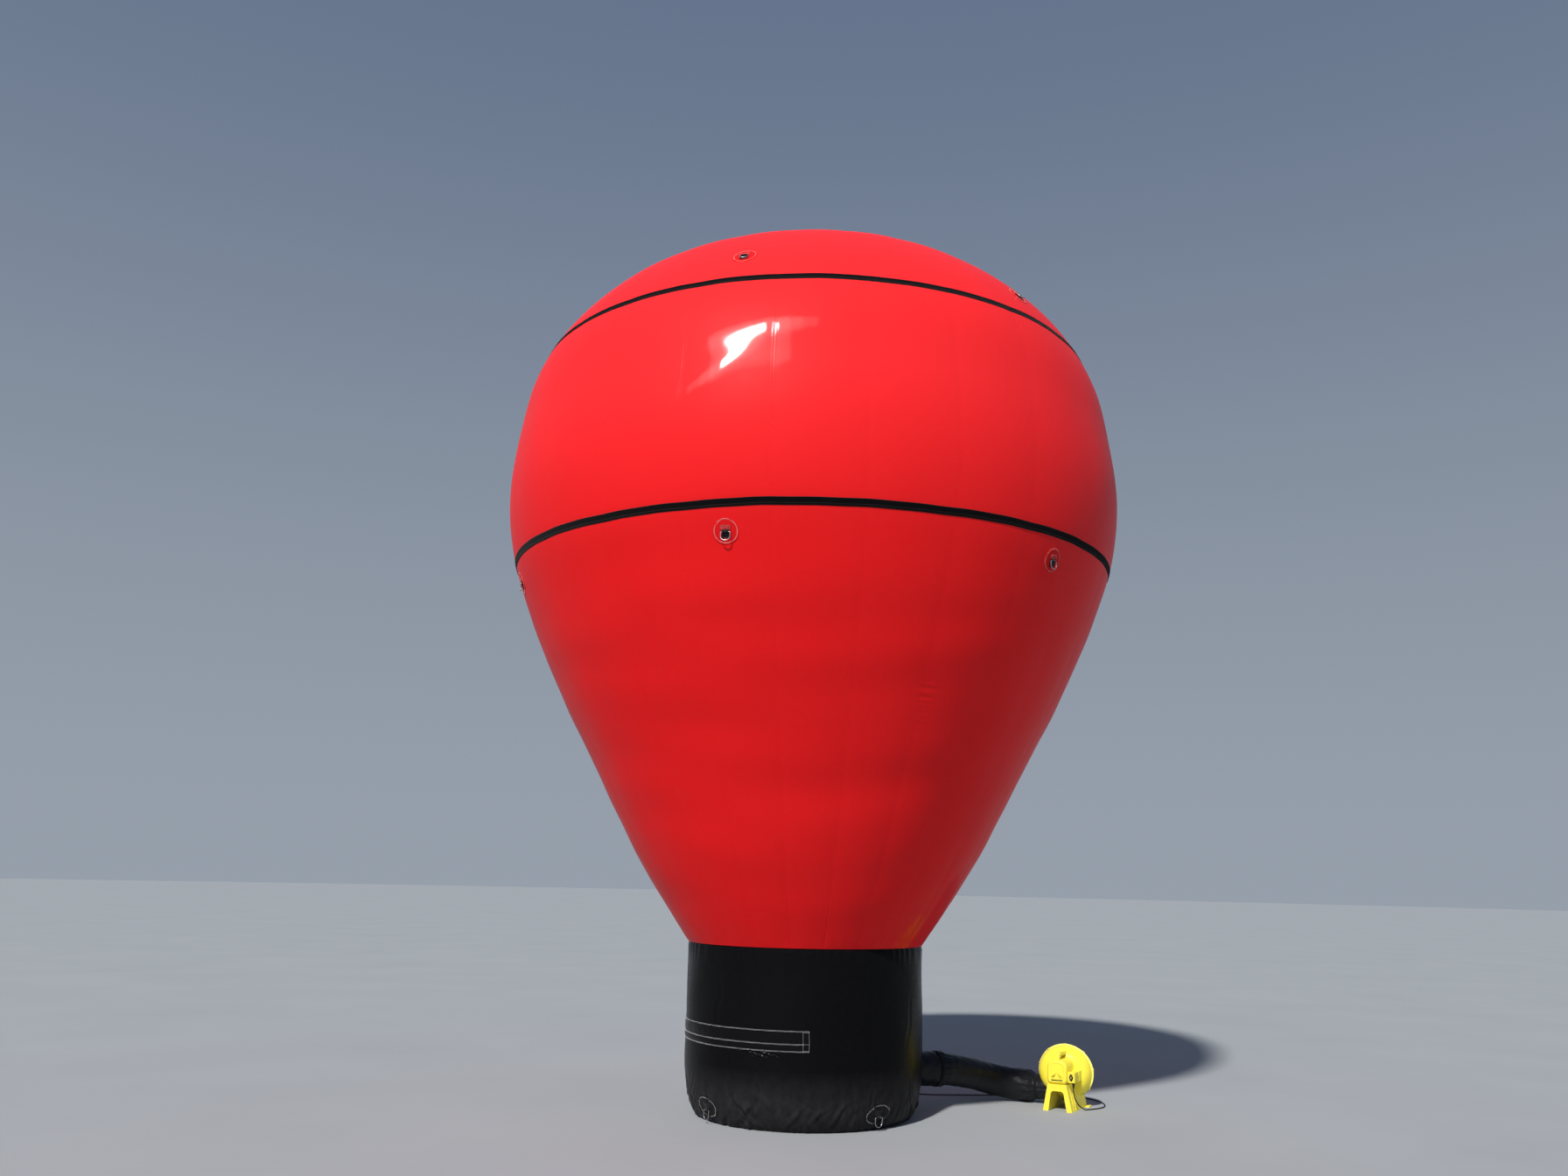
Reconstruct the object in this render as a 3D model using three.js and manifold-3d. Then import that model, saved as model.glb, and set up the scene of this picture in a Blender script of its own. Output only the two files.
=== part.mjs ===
// Cold-air advertising sky balloon: a hot-air-balloon shaped envelope on a round base,
// kept full by a blower through a soft duct. Millimetres, +Z up.
// Origin: on the balloon's axis, at the underside of the base. +X points to the blower's side.
import * as THREE from 'three';
import { mergeVertices } from 'three/addons/utils/BufferGeometryUtils.js';
import Module from 'manifold-3d';

const wasm = await Module();
wasm.setup();

const { Vector2, Vector3, Matrix4, Group, Mesh, Shape, Path, BufferGeometry, BufferAttribute } = THREE;
const RAD = Math.PI / 180;
const GAP = 0.3;                 // free space between neighbouring pieces

// ---------- driving dimensions ----------
const SEGMENTS = 40;             // facets around the balloon
const SKIN = 10;                 // envelope wall
const TOP_Z = 6590;              // crown
const SEAM_Z = 1198;             // where the cone is sewn to the base
const BASE_R = 872;
const LOWER_BAND_Z = 3956;
const UPPER_BAND_Z = 5539;
const BAND_WIDTH = 54;           // along the envelope
const BAND_PROUD = 3;

// envelope outline, z against r
const ENVELOPE = [
  // z, r
  [1198, 872], [1400, 1012], [1650, 1178], [1950, 1357], [2350, 1566], [2800, 1808], [3250, 2031],
  [3650, 2198], [4050, 2329], [4493, 2381], [4950, 2338], [5350, 2256], [5700, 2079], [6000, 1817],
  [6240, 1495], [6420, 1095], [6540, 610], [6590, 0], [6540, -610],
];
// base outline from its flat underside upwards
const BASE = [
  // z, r
  [0, 765], [12, 788], [40, 810], [90, 832], [160, 850], [240, 863], [330, 871], [400, 872],
];

// tether patches: rows of round patches, each with a webbing loop and a D-ring
const PATCH_ROWS = [
  // name, count, first azimuth, height, patch radius, the ring's inside depth, its angle off the patch
  { name: 'top', count: 6, first: -104.5, z: 5787, radius: 87, depth: 50, swing: -8 },
  { name: 'middle', count: 6, first: -104.5, z: 3788, radius: 87, depth: 50, swing: null },
  { name: 'base', count: 4, first: -142.5, z: 100, radius: 82, depth: 58, swing: null },
];
const PATCH_THICK = 3;
const WEB_W = 50;                // webbing width
const RING_BAR = 56;             // inside width of a D-ring
const RING_WIRE = 6;

// deflation zip flap, wrapped round the base
const FLAP = { from: -189, to: -87.8, z0: 520, z1: 664, thick: 4 };

// inlet sleeve and duct
const INLET_AZ = 25;
const INLET_Z = 275;
const SLEEVE = { inner: 123, outer: 128, inside: 75, length: 300, slope: -0.06 };
const DUCT = { inner: 114, outer: 118, overlap: 40, steps: 12, sides: 10 };   // sides: of half the tube

// blower: its own frame has +X to the right of its front, +Y to its rear
const BLOWER = { x: 2060, y: 550, turn: -29 };
const SCROLL = { z: 250, r: 192, rim: 202, front: -121, rear: 92, wall: 4, stretch: 1.07, shift: -20 };   // wider than tall, off centre to the outlet
const SPOUT = { x: -262, half: 56, z0: 64, z1: 176 };
const POD = { half: 78.5, front: -300, z0: 193, z1: 366, wall: 4 };
const MOTOR = { r: 50, front: -286, rear: -160 };
const SWITCH_BOX = { x0: 78.8, x1: 134, y0: -285, y1: -60, z0: 208, z1: 284 };
const GLAND = { x: 116, y: -262, length: 38 };
const STAND = { front: -300, rear: 84, top: 192.7, foot: 112, head: 72, legFoot: 72, legHead: 45, archTop: 143 };
const IMPELLER = { r: 138, inner: 100, front: -72, rear: 62, blades: 14 };
const INTAKE_R = 96;

// power lead
const LEAD_D = 8.5;
const COIL = { x: 250, y: 1230, inner: 31.5, outer: 66.5, height: 17.5 };

// ---------- helpers ----------
function weld(source) {
  let g = source.index ? source.toNonIndexed() : source.clone();
  for (const key of Object.keys(g.attributes)) if (key !== 'position') g.deleteAttribute(key);
  g = mergeVertices(g, 1e-3);
  const p = g.attributes.position;
  const keep = [];
  let volume = 0;
  const a = new Vector3(), b = new Vector3(), c = new Vector3();
  for (let i = 0; i < g.index.count; i += 3) {
    const [u, v, w] = [g.index.getX(i), g.index.getX(i + 1), g.index.getX(i + 2)];
    if (u === v || v === w || w === u) continue;
    keep.push(u, v, w);
    a.fromBufferAttribute(p, u); b.fromBufferAttribute(p, v); c.fromBufferAttribute(p, w);
    volume += a.dot(b.cross(c)) / 6;
  }
  if (volume < 0) for (let i = 0; i < keep.length; i += 3) [keep[i + 1], keep[i + 2]] = [keep[i + 2], keep[i + 1]];
  g.setIndex(keep);
  return g;
}
function toSolid(g) {
  const w = weld(g);
  return new wasm.Manifold(new wasm.Mesh({
    numProp: 3,
    vertProperties: new Float32Array(w.attributes.position.array),
    triVerts: new Uint32Array(w.index.array),
  }));
}
function fromSolid(s) {
  const m = s.getMesh();
  const g = new BufferGeometry();
  g.setAttribute('position', new BufferAttribute(new Float32Array(m.vertProperties), 3));
  g.setIndex(new BufferAttribute(new Uint32Array(m.triVerts), 1));
  return g;
}
const join = (...parts) => fromSolid(parts.map(toSolid).reduce((s, t) => s.add(t)));
const cut = (body, ...tools) => fromSolid(tools.map(toSolid).reduce((s, t) => s.subtract(t), toSolid(body)));
const common = (a, b) => fromSolid(toSolid(a).intersect(toSolid(b)));
function box(x0, x1, y0, y1, z0, z1) {
  const g = new THREE.BoxGeometry(x1 - x0, y1 - y0, z1 - z0);
  g.translate((x0 + x1) / 2, (y0 + y1) / 2, (z0 + z1) / 2);
  return g;
}
// a closed section turned about the Z axis
function turned(points, segments = SEGMENTS) {
  const g = new THREE.LatheGeometry(points.map(([r, z]) => new Vector2(Math.max(r, 0), z)), segments);
  g.rotateX(Math.PI / 2);
  return g;
}
// the same about the Y axis through (0, z) of the blower
function turnedY(points, z, segments = 32) {
  const g = new THREE.LatheGeometry(points.map(([r, y]) => new Vector2(Math.max(r, 0), y)), segments);
  g.translate(0, 0, z);
  return g;
}
const looped = (points) => [...points, points[0]];
// an outline in X and Z, pushed along Y from y0 to y1
function pushedY(shape, y0, y1, options = {}) {
  const g = new THREE.ExtrudeGeometry(shape, { depth: y1 - y0, bevelEnabled: false, curveSegments: 3, ...options });
  g.rotateX(Math.PI / 2);
  g.translate(0, y1, 0);
  return g;
}
function polygon(points) {
  const s = new Shape();
  points.forEach(([x, y], i) => (i ? s.lineTo(x, y) : s.moveTo(x, y)));
  s.closePath();
  return s;
}
function roundedRect(x0, x1, y0, y1, low, high) {
  const s = new Shape();
  s.moveTo(x0 + low, y0);
  s.lineTo(x1 - low, y0); s.absarc(x1 - low, y0 + low, low, -Math.PI / 2, 0);
  s.lineTo(x1, y1 - high); s.absarc(x1 - high, y1 - high, high, 0, Math.PI / 2);
  s.lineTo(x0 + high, y1); s.absarc(x0 + high, y1 - high, high, Math.PI / 2, Math.PI);
  s.lineTo(x0, y0 + low); s.absarc(x0 + low, y0 + low, low, Math.PI, Math.PI * 1.5);
  return s;
}

// ---------- materials ----------
const LOOKS = {
  red_pvc: { color: 0xe0201f, roughness: 0.28, metalness: 0 },
  black_pvc: { color: 0x17171a, roughness: 0.38, metalness: 0 },
  tape: { color: 0x0c0c0e, roughness: 0.8, metalness: 0 },
  red_webbing: { color: 0xc21a1c, roughness: 0.6, metalness: 0 },
  steel: { color: 0xc9ccd0, roughness: 0.25, metalness: 1 },
  yellow_plastic: { color: 0xf2e21c, roughness: 0.4, metalness: 0 },
  black_plastic: { color: 0x141416, roughness: 0.5, metalness: 0 },
  motor_steel: { color: 0x55585c, roughness: 0.5, metalness: 1 },
  rubber: { color: 0x101012, roughness: 0.6, metalness: 0 },
};
const balloon = new Group();
balloon.name = 'advertising_sky_balloon';
function add(parent, name, geometry, look) {
  const mesh = new Mesh(weld(geometry), new THREE.MeshStandardMaterial(LOOKS[look]));
  mesh.geometry.computeVertexNormals();
  mesh.name = name;
  parent.add(mesh);
  return mesh;
}

// ---------- envelope ----------
const outline = new THREE.CatmullRomCurve3(ENVELOPE.map(([z, r]) => new Vector3(r, z, 0)), false, 'centripetal');
const fine = outline.getPoints(3600).map((p) => [p.y, p.x]).filter(([, r], i, all) => r >= 0 || (i && all[i - 1][1] >= 0));
// place and outward direction on the outline, s along it
const walk = [0];
for (let i = 1; i < fine.length; i++) walk.push(walk[i - 1] + Math.hypot(fine[i][0] - fine[i - 1][0], fine[i][1] - fine[i - 1][1]));
const poleAt = walk[fine.findIndex(([, r]) => r <= 0.5)] ?? walk[walk.length - 1];
function at(s) {
  let i = 1;
  while (i < walk.length - 1 && walk[i] < s) i++;
  const t = Math.min(1, Math.max(0, (s - walk[i - 1]) / (walk[i] - walk[i - 1])));
  const z = fine[i - 1][0] + t * (fine[i][0] - fine[i - 1][0]);
  const r = fine[i - 1][1] + t * (fine[i][1] - fine[i - 1][1]);
  const dz = (fine[i][0] - fine[i - 1][0]), dr = (fine[i][1] - fine[i - 1][1]);
  const n = Math.hypot(dz, dr);
  return { z, r, nr: dz / n, nz: -dr / n };
}
function alongAt(z) {
  let i = 1;
  while (i < fine.length - 1 && fine[i][0] < z) i++;
  return walk[i - 1] + (walk[i] - walk[i - 1]) * (z - fine[i - 1][0]) / (fine[i][0] - fine[i - 1][0]);
}
function shellBetween(s0, s1, rows, outside, inside, closesOnAxis = false) {
  const outer = [], inner = [];
  for (let i = 0; i <= rows; i++) {
    const last = closesOnAxis && i === rows;
    const q = at(s0 + (s1 - s0) * i / rows);
    outer.push(last ? [0, q.z + outside] : [q.r + outside * q.nr, q.z + outside * q.nz]);
    inner.unshift(last ? [0, q.z - inside] : [q.r - inside * q.nr, q.z - inside * q.nz]);
  }
  return turned(looped([...outer, ...inner]));
}
const half = BAND_WIDTH / 2;
const sLow = alongAt(LOWER_BAND_Z), sUp = alongAt(UPPER_BAND_Z);
const PANELS = [
  // name, from, to, rows, proud, look, on the axis
  { name: 'envelope_cone', s0: 0, s1: sLow - half - GAP, rows: 7, proud: 0, look: 'red_pvc' },
  { name: 'lower_band', s0: sLow - half, s1: sLow + half, rows: 1, proud: BAND_PROUD, look: 'tape' },
  { name: 'envelope_middle', s0: sLow + half + GAP, s1: sUp - half - GAP, rows: 6, proud: 0, look: 'red_pvc' },
  { name: 'upper_band', s0: sUp - half, s1: sUp + half, rows: 1, proud: BAND_PROUD, look: 'tape' },
  { name: 'envelope_crown', s0: sUp + half + GAP, s1: poleAt, rows: 7, proud: 0, look: 'red_pvc', pole: true },
];
for (const p of PANELS) add(balloon, p.name, shellBetween(p.s0, p.s1, p.rows, p.proud, SKIN, p.pole), p.look);

// ---------- base ----------
const baseTop = SEAM_Z - GAP;
const baseOuter = [...BASE.map(([z, r]) => [r, z]), [BASE_R, baseTop]];
const baseInner = [[BASE_R - SKIN, baseTop], ...BASE.slice().reverse().map(([z, r]) => [r - SKIN, z + (z < 60 ? SKIN * (1 - z / 60) : 0)])];
const baseSection = [[0, 0], ...baseOuter, ...baseInner, [0, SKIN]];
const inletDir = new Vector3(Math.cos(INLET_AZ * RAD), Math.sin(INLET_AZ * RAD), SLEEVE.slope).normalize();
const inletAt = new Vector3(BASE_R * Math.cos(INLET_AZ * RAD), BASE_R * Math.sin(INLET_AZ * RAD), INLET_Z);
function alongInlet(g) {
  const m = new Matrix4().makeRotationFromQuaternion(new THREE.Quaternion().setFromUnitVectors(new Vector3(0, 0, 1), inletDir));
  m.setPosition(inletAt);
  return g.applyMatrix4(m);
}
const tubeRing = (inner, outer, z0, z1, sides = 24) => turned(looped([[inner, z0], [outer, z0], [outer, z1], [inner, z1]]), sides);
const inletHole = alongInlet(turned([[0, -200], [SLEEVE.outer + GAP, -200], [SLEEVE.outer + GAP, 60], [0, 60]], 24));
add(balloon, 'base_wall', cut(turned(baseSection), inletHole), 'black_pvc');

// ---------- deflation zip flap ----------
function arcBand(r0, r1, from, to, z0, z1) {
  const step = 360 / SEGMENTS;
  const angles = [];
  for (let a = from; a < to; a += step) angles.push(a);
  angles.push(to);
  const on = (r, a) => {             // a place on the flat facets of the wall
    const off = ((((a % step) + step) % step) - step / 2) * RAD;
    const d = r * Math.cos(step * RAD / 2) / Math.cos(off);
    return [d * Math.cos(a * RAD), d * Math.sin(a * RAD)];
  };
  const ring = [...angles.map((a) => on(r1, a)), ...angles.reverse().map((a) => on(r0, a))];
  const g = new THREE.ExtrudeGeometry(polygon(ring), { depth: z1 - z0, bevelEnabled: false });
  g.translate(0, 0, z0);
  return g;
}
add(balloon, 'zip_flap', arcBand(BASE_R + GAP, BASE_R + GAP + FLAP.thick, FLAP.from, FLAP.to, FLAP.z0, FLAP.z1), 'black_pvc');

// ---------- tether patches and D-rings ----------
function dRing(d) {
  const w = RING_WIRE, hw = RING_BAR / 2;
  const outlineOf = (k) => {
    const pts = [[-hw - k, k], [-hw - k, -d * 0.45]];
    for (let i = 1; i < 8; i++) {
      const a = Math.PI + (Math.PI * i) / 8;
      pts.push([(hw + k) * Math.cos(a), -d * 0.45 + (d * 0.55 + k) * Math.sin(a)]);
    }
    pts.push([hw + k, -d * 0.45], [hw + k, k]);
    return pts;
  };
  const flat = (pts) => {            // a short level stretch at the foot of the bow
    const low = Math.min(...pts.map((p) => p[1]));
    return pts.flatMap(([x, y]) => (y === low ? [[x - 9, y], [x + 9, y]] : [[x, y]]));
  };
  const s = polygon(flat(outlineOf(w)));
  s.holes.push(new Path(flat(outlineOf(0)).map(([x, y]) => new Vector2(x, y))));
  const g = new THREE.ExtrudeGeometry(s, { depth: w, bevelEnabled: false });
  g.translate(0, -w / 2, -w / 2);  // the bar's middle is at the origin
  return g;
}
const LOOP_Y = -6, LOOP_Z = PATCH_THICK + 7.5;
function patch(radius) {
  const disc = new THREE.CylinderGeometry(radius, radius, PATCH_THICK, 16);
  disc.rotateX(Math.PI / 2);
  disc.translate(0, 0, PATCH_THICK / 2);
  const hw = WEB_W / 2;
  const tab = box(-hw, hw, LOOP_Y - 7, 40, PATCH_THICK - 1, PATCH_THICK + 3);
  const loop = box(-hw, hw, LOOP_Y - 7, LOOP_Y + 7, PATCH_THICK - 1, LOOP_Z + 6.5);
  const eye = box(-hw - 5, hw + 5, LOOP_Y - 4.5, LOOP_Y + 4.5, LOOP_Z - 4.5, LOOP_Z + 4.5);
  return cut(join(disc, tab, loop), eye);
}
const baseAt = (z) => {
  let i = 1;
  while (BASE[i][0] < z) i++;
  const [z0, r0] = BASE[i - 1], [z1, r1] = BASE[i];
  const n = Math.hypot(z1 - z0, r1 - r0);
  return { z, r: r0 + (r1 - r0) * (z - z0) / (z1 - z0), nr: (z1 - z0) / n, nz: -(r1 - r0) / n };
};
for (const row of PATCH_ROWS) {
  const q = row.name === 'base' ? baseAt(row.z) : at(alongAt(row.z));
  const lean = Math.atan2(q.nz, q.nr);                        // how far the patch looks up
  for (let i = 0; i < row.count; i++) {
    const az = (row.first + i * 360 / row.count) * RAD;
    const out = new Vector3(Math.cos(az) * Math.cos(lean), Math.sin(az) * Math.cos(lean), Math.sin(lean));
    const side = new Vector3(-Math.sin(az), Math.cos(az), 0);
    const up = new Vector3().crossVectors(out, side);
    const place = new Group();
    place.applyMatrix4(new Matrix4().makeBasis(side, up, out).setPosition(
      q.r * Math.cos(az) + out.x * (row.name === 'base' ? 5 : 1.5), q.r * Math.sin(az) + out.y * (row.name === 'base' ? 5 : 1.5), q.z + out.z * 1.5));
    balloon.add(place);
    add(place, `${row.name}_patch_${i + 1}`, patch(row.radius), row.name === 'base' ? 'black_pvc' : 'red_webbing');
    const swing = new Group();                                // the ring hangs straight down where the wall lets it
    swing.position.set(0, LOOP_Y, LOOP_Z);
    swing.rotation.x = row.swing === null ? lean : row.swing * RAD;
    place.add(swing);
    add(swing, `${row.name}_d_ring_${i + 1}`, dRing(row.depth), 'steel');
  }
}

// ---------- inlet sleeve, duct and ties ----------
add(balloon, 'inlet_sleeve', alongInlet(tubeRing(SLEEVE.inner, SLEEVE.outer, -SLEEVE.inside, SLEEVE.length)), 'black_pvc');
add(balloon, 'sleeve_tie', alongInlet(tubeRing(SLEEVE.outer + GAP, SLEEVE.outer + 4, SLEEVE.length - 60, SLEEVE.length - 35)), 'black_pvc');
const blowerTurn = new Matrix4().makeRotationZ(BLOWER.turn * RAD).setPosition(BLOWER.x, BLOWER.y, 0);
const inBlower = (x, y, z) => new Vector3(x, y, z).applyMatrix4(blowerTurn);
const CUFF = { z: DUCT.outer + 1, x0: -310, x1: -263, x2: -130, inner: 86, wall: 4 };
const ductFrom = inletAt.clone().addScaledVector(inletDir, SLEEVE.length - DUCT.overlap);
const ductTo = inBlower(CUFF.x0 - GAP, 0, CUFF.z);
const outletDir = inBlower(1, 0, 0).sub(inBlower(0, 0, 0));
const ductLine = new THREE.CubicBezierCurve3(
  ductFrom, ductFrom.clone().addScaledVector(inletDir, 330),
  ductTo.clone().addScaledVector(outletDir, -330), ductTo);
const ductSection = new Shape().absarc(0, 0, DUCT.outer, 0, 2 * Math.PI, false);
ductSection.holes.push(new Path().absarc(0, 0, DUCT.inner, 0, 2 * Math.PI, true));
add(balloon, 'air_duct', new THREE.ExtrudeGeometry(ductSection, { steps: DUCT.steps, curveSegments: DUCT.sides, extrudePath: ductLine }), 'black_pvc');

// ---------- blower ----------
const blower = new Group();
blower.position.set(BLOWER.x, BLOWER.y, 0);
blower.rotation.z = BLOWER.turn * RAD;
balloon.add(blower);

// cuff: the duct's end, gathered down onto the spout
const cuffSection = [[CUFF.inner + CUFF.wall, CUFF.x2], [CUFF.inner + CUFF.wall, CUFF.x1], [DUCT.outer, CUFF.x0],
  [DUCT.inner, CUFF.x0], [CUFF.inner, CUFF.x1], [CUFF.inner, CUFF.x2]];
function alongX(points, sides = 20) {
  const g = new THREE.LatheGeometry(points.map(([r, x]) => new Vector2(r, x)), sides);
  g.rotateZ(-Math.PI / 2);
  g.translate(0, 0, CUFF.z);
  return g;
}

add(blower, 'outlet_tie', alongX(looped([[90 + GAP, -257], [94, -257], [94, -235], [90 + GAP, -235]]), 24), 'black_pvc');

// housing: domed in front, a rim where its two halves meet; grow is added all round
const oval = (g) => {
  g.scale(SCROLL.stretch, 1, 1);
  g.translate(SCROLL.shift, 0, 0);
  return g;
};
const DOME = [[0, -121], [80, -121], [103, -118.5], [131, -109], [157, -91], [176, -66], [187.5, -38], [192, -12], [192, 10], [190, 38], [182, 64], [168, 82], [148, 92], [0, 92]];
const shell = (grow) => {
  const pts = DOME.map(([r, y], i) => {
    if (i === 0 || i === DOME.length - 1) return [0, y + (y < 0 ? -grow : grow)];
    const [a, b] = [DOME[i - 1], DOME[i + 1]];
    const [ux, uy] = [b[0] - a[0], b[1] - a[1]];
    const n = Math.hypot(ux, uy);
    return [r + (grow * uy) / n, y - (grow * ux) / n];
  });
  return oval(turnedY(pts, SCROLL.z));
};
const disc = (r, y0, y1, segments = 32) => turnedY([[0, y0], [r, y0], [r, y1], [0, y1]], SCROLL.z, segments);
const w = SCROLL.wall;
const scroll = cut(
  join(shell(0), oval(disc(SCROLL.rim, -6, 6)),
    box(SPOUT.x, -90, -SPOUT.half, SPOUT.half, SPOUT.z0, SPOUT.z1)),
  join(shell(-w), box(SPOUT.x - 5, -90, -SPOUT.half + w, SPOUT.half - w, SPOUT.z0 + w, SPOUT.z1 - w)),
  disc(INTAKE_R, SCROLL.rear - 20, SCROLL.rear + 20), disc(16, SCROLL.front - 20, SCROLL.front + 20, 16));
const keepClear = () => [shell(GAP + 0.2), oval(disc(SCROLL.rim + 0.5, -6.5, 6.5))];
add(blower, 'scroll_front', common(scroll, box(-400, 400, -300, -GAP / 2, -50, 600)), 'yellow_plastic');
add(blower, 'scroll_rear', common(scroll, box(-400, 400, GAP / 2, 300, -50, 600)), 'yellow_plastic');

// the cuff's end lies against the housing
add(blower, 'duct_cuff', cut(alongX(looped(cuffSection), 24), ...keepClear()), 'black_pvc');

// intake grille: rings on crossed bars
const gy0 = SCROLL.rear + GAP, gy1 = gy0 + 5;
const grilleRing = (r) => turnedY(looped([[r - 2.5, gy0], [r + 2.5, gy0], [r + 2.5, gy1], [r - 2.5, gy1]]), SCROLL.z, 20);
const grilleBar = (turn) => {
  const g = box(-104, 104, gy0, gy1, -2.5, 2.5);
  g.rotateY(turn * RAD);
  g.translate(0, 0, SCROLL.z);
  return g;
};
add(blower, 'intake_grille', join(grilleRing(102), grilleRing(76), grilleRing(50), grilleRing(24), grilleBar(0), grilleBar(90)), 'black_plastic');

// impeller: back plate, hub and shaft, blades and front ring
const blade = (i) => {
  const g = box(IMPELLER.inner, IMPELLER.r - 2, IMPELLER.front + 2, IMPELLER.rear - 2, -1.5, 1.5);
  g.translate(-118, 0, 0);
  g.rotateY(28 * RAD);
  g.translate(118, 0, 0);
  g.rotateY((i * 2 * Math.PI) / IMPELLER.blades);
  g.translate(0, 0, SCROLL.z);
  return g;
};
add(blower, 'impeller', join(
  disc(IMPELLER.r, IMPELLER.front, IMPELLER.front + 4, 24), disc(26, IMPELLER.front, IMPELLER.front + 45, 12),
  disc(8, MOTOR.rear + 0.5, IMPELLER.front + 1, 12),
  turnedY(looped([[IMPELLER.inner, IMPELLER.rear - 4], [IMPELLER.r, IMPELLER.rear - 4], [IMPELLER.r, IMPELLER.rear], [IMPELLER.inner, IMPELLER.rear]]), SCROLL.z, 24),
  ...Array.from({ length: IMPELLER.blades }, (_, i) => blade(i))), 'black_plastic');

// motor and its cover
add(blower, 'motor', disc(MOTOR.r, MOTOR.front, MOTOR.rear, 20), 'motor_steel');
add(blower, 'motor_cover', cut(
  pushedY(roundedRect(-POD.half, POD.half, POD.z0, POD.z1, 32, 58), POD.front, -60),
  pushedY(roundedRect(-POD.half + POD.wall, POD.half - POD.wall, POD.z0 + POD.wall, POD.z1 - POD.wall, 28, 54), POD.front + POD.wall, -40),
  shell(GAP + 0.2)), 'yellow_plastic');

// carry handle: a bar from the top of the motor cover back to the scroll
add(blower, 'carry_handle', cut(pushedX([[-278, POD.z1 + GAP], [-254, POD.z1 + GAP], [-246, 386], [-234, 391], [-40, 391], [-40, 411], [-252, 411], [-270, 401]], -17, 17), shell(GAP + 0.2)), 'yellow_plastic');
function pushedX(points, x0, x1) {
  const g = new THREE.ExtrudeGeometry(polygon(points), { depth: x1 - x0, bevelEnabled: false });
  g.applyMatrix4(new Matrix4().makeBasis(new Vector3(0, 1, 0), new Vector3(0, 0, 1), new Vector3(1, 0, 0)));
  g.translate(x0, 0, 0);
  return g;
}

// stand: two splayed legs joined above an arch, hollowed round the scroll
const S = STAND;
const standBlock = pushedY(polygon([[-S.foot, 0], [S.foot, 0], [S.head, S.top], [-S.head, S.top]]), S.front, S.rear);
const arch = pushedY(polygon([[-S.legFoot, -5], [S.legFoot, -5], [S.legHead + 4, S.archTop - 14], [S.legHead - 10, S.archTop], [-S.legHead + 10, S.archTop], [-S.legHead - 4, S.archTop - 14]]), S.front - 5, S.rear + 5);
const toes = [[-148, -100], [100, 148]].map(([x0, x1]) => box(x0, x1, 20, S.rear, 0, 9));
add(blower, 'blower_stand', cut(join(standBlock, ...toes), arch,
  ...keepClear(), oval(disc(SCROLL.r + 0.5, SCROLL.rear - 30, SCROLL.rear + 20)),
  box(-300, 300, -105, SCROLL.rear + 20, 120, 300), alongX([[0, -300], [90.8, -300], [90.8, -40], [0, -40]], 24)), 'yellow_plastic');

// switch box beside the motor cover, with a rocker switch and the lead's gland
const B = SWITCH_BOX;
add(blower, 'switch_box', cut(box(B.x0, B.x1, B.y0, B.y1, B.z0, B.z1), shell(GAP + 0.2)), 'yellow_plastic');
const switchX = (B.x0 + B.x1) / 2, switchZ = (B.z0 + B.z1) / 2;
add(blower, 'rocker_switch', join(box(switchX - 15, switchX + 15, B.y0 - 3, B.y0 - GAP, switchZ - 21, switchZ + 21),
  box(switchX - 9, switchX + 9, B.y0 - 8, B.y0 - 2, switchZ - 14, switchZ + 14)), 'black_plastic');
const gz = B.z0 - GAP;
const glandGeometry = turned([[0, gz - GLAND.length], [5.5, gz - GLAND.length], [8, gz - 10], [11, gz - 9], [11, gz], [0, gz]], 12);
glandGeometry.translate(GLAND.x, GLAND.y, 0);
add(blower, 'cable_gland', glandGeometry, 'rubber');

// ---------- power lead ----------
const ground = LEAD_D / 2 + 0.2;
const coilAz = (deg, r) => new Vector3(COIL.x + r * Math.cos(deg * RAD), COIL.y + r * Math.sin(deg * RAD), ground);
const leadExit = inBlower(GLAND.x, GLAND.y, gz - GLAND.length - GAP);
const LEAD_ROUTE = [
  leadExit, leadExit.clone().add(new Vector3(0, 0, -22)), leadExit.clone().add(new Vector3(4, 2, -50)),
  new Vector3(2056, 290, 80), new Vector3(2088, 322, 38), new Vector3(2128, 352, 12), new Vector3(2172, 378, ground),
  new Vector3(2240, 420, ground), new Vector3(2310, 500, ground), new Vector3(2345, 620, ground), new Vector3(2335, 760, ground),
  new Vector3(2270, 890, ground), new Vector3(2140, 985, ground), new Vector3(1960, 1020, ground), new Vector3(1760, 1000, ground),
  new Vector3(1568, 955, ground), new Vector3(1286, 925, ground), new Vector3(1050, 905, ground), new Vector3(850, 935, ground),
  new Vector3(650, 990, ground), new Vector3(500, 1062, ground), new Vector3(385, 1184, ground), coilAz(40, COIL.outer + LEAD_D / 2 + GAP),
];
const leadLine = new THREE.CatmullRomCurve3(LEAD_ROUTE, false, 'centripetal');
const round = (d, sides) => polygon(Array.from({ length: sides }, (_, i) => [d / 2 * Math.cos((2 * Math.PI * i) / sides), d / 2 * Math.sin((2 * Math.PI * i) / sides)]));
add(balloon, 'power_lead', new THREE.ExtrudeGeometry(round(LEAD_D, 8), { steps: 78, extrudePath: leadLine }), 'rubber');
const coilGeometry = turned(looped([[COIL.inner, 0], [COIL.outer, 0], [COIL.outer, COIL.height], [COIL.inner, COIL.height]]), 24);
coilGeometry.translate(COIL.x, COIL.y, 0);
add(balloon, 'power_lead_coil', coilGeometry, 'rubber');
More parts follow.
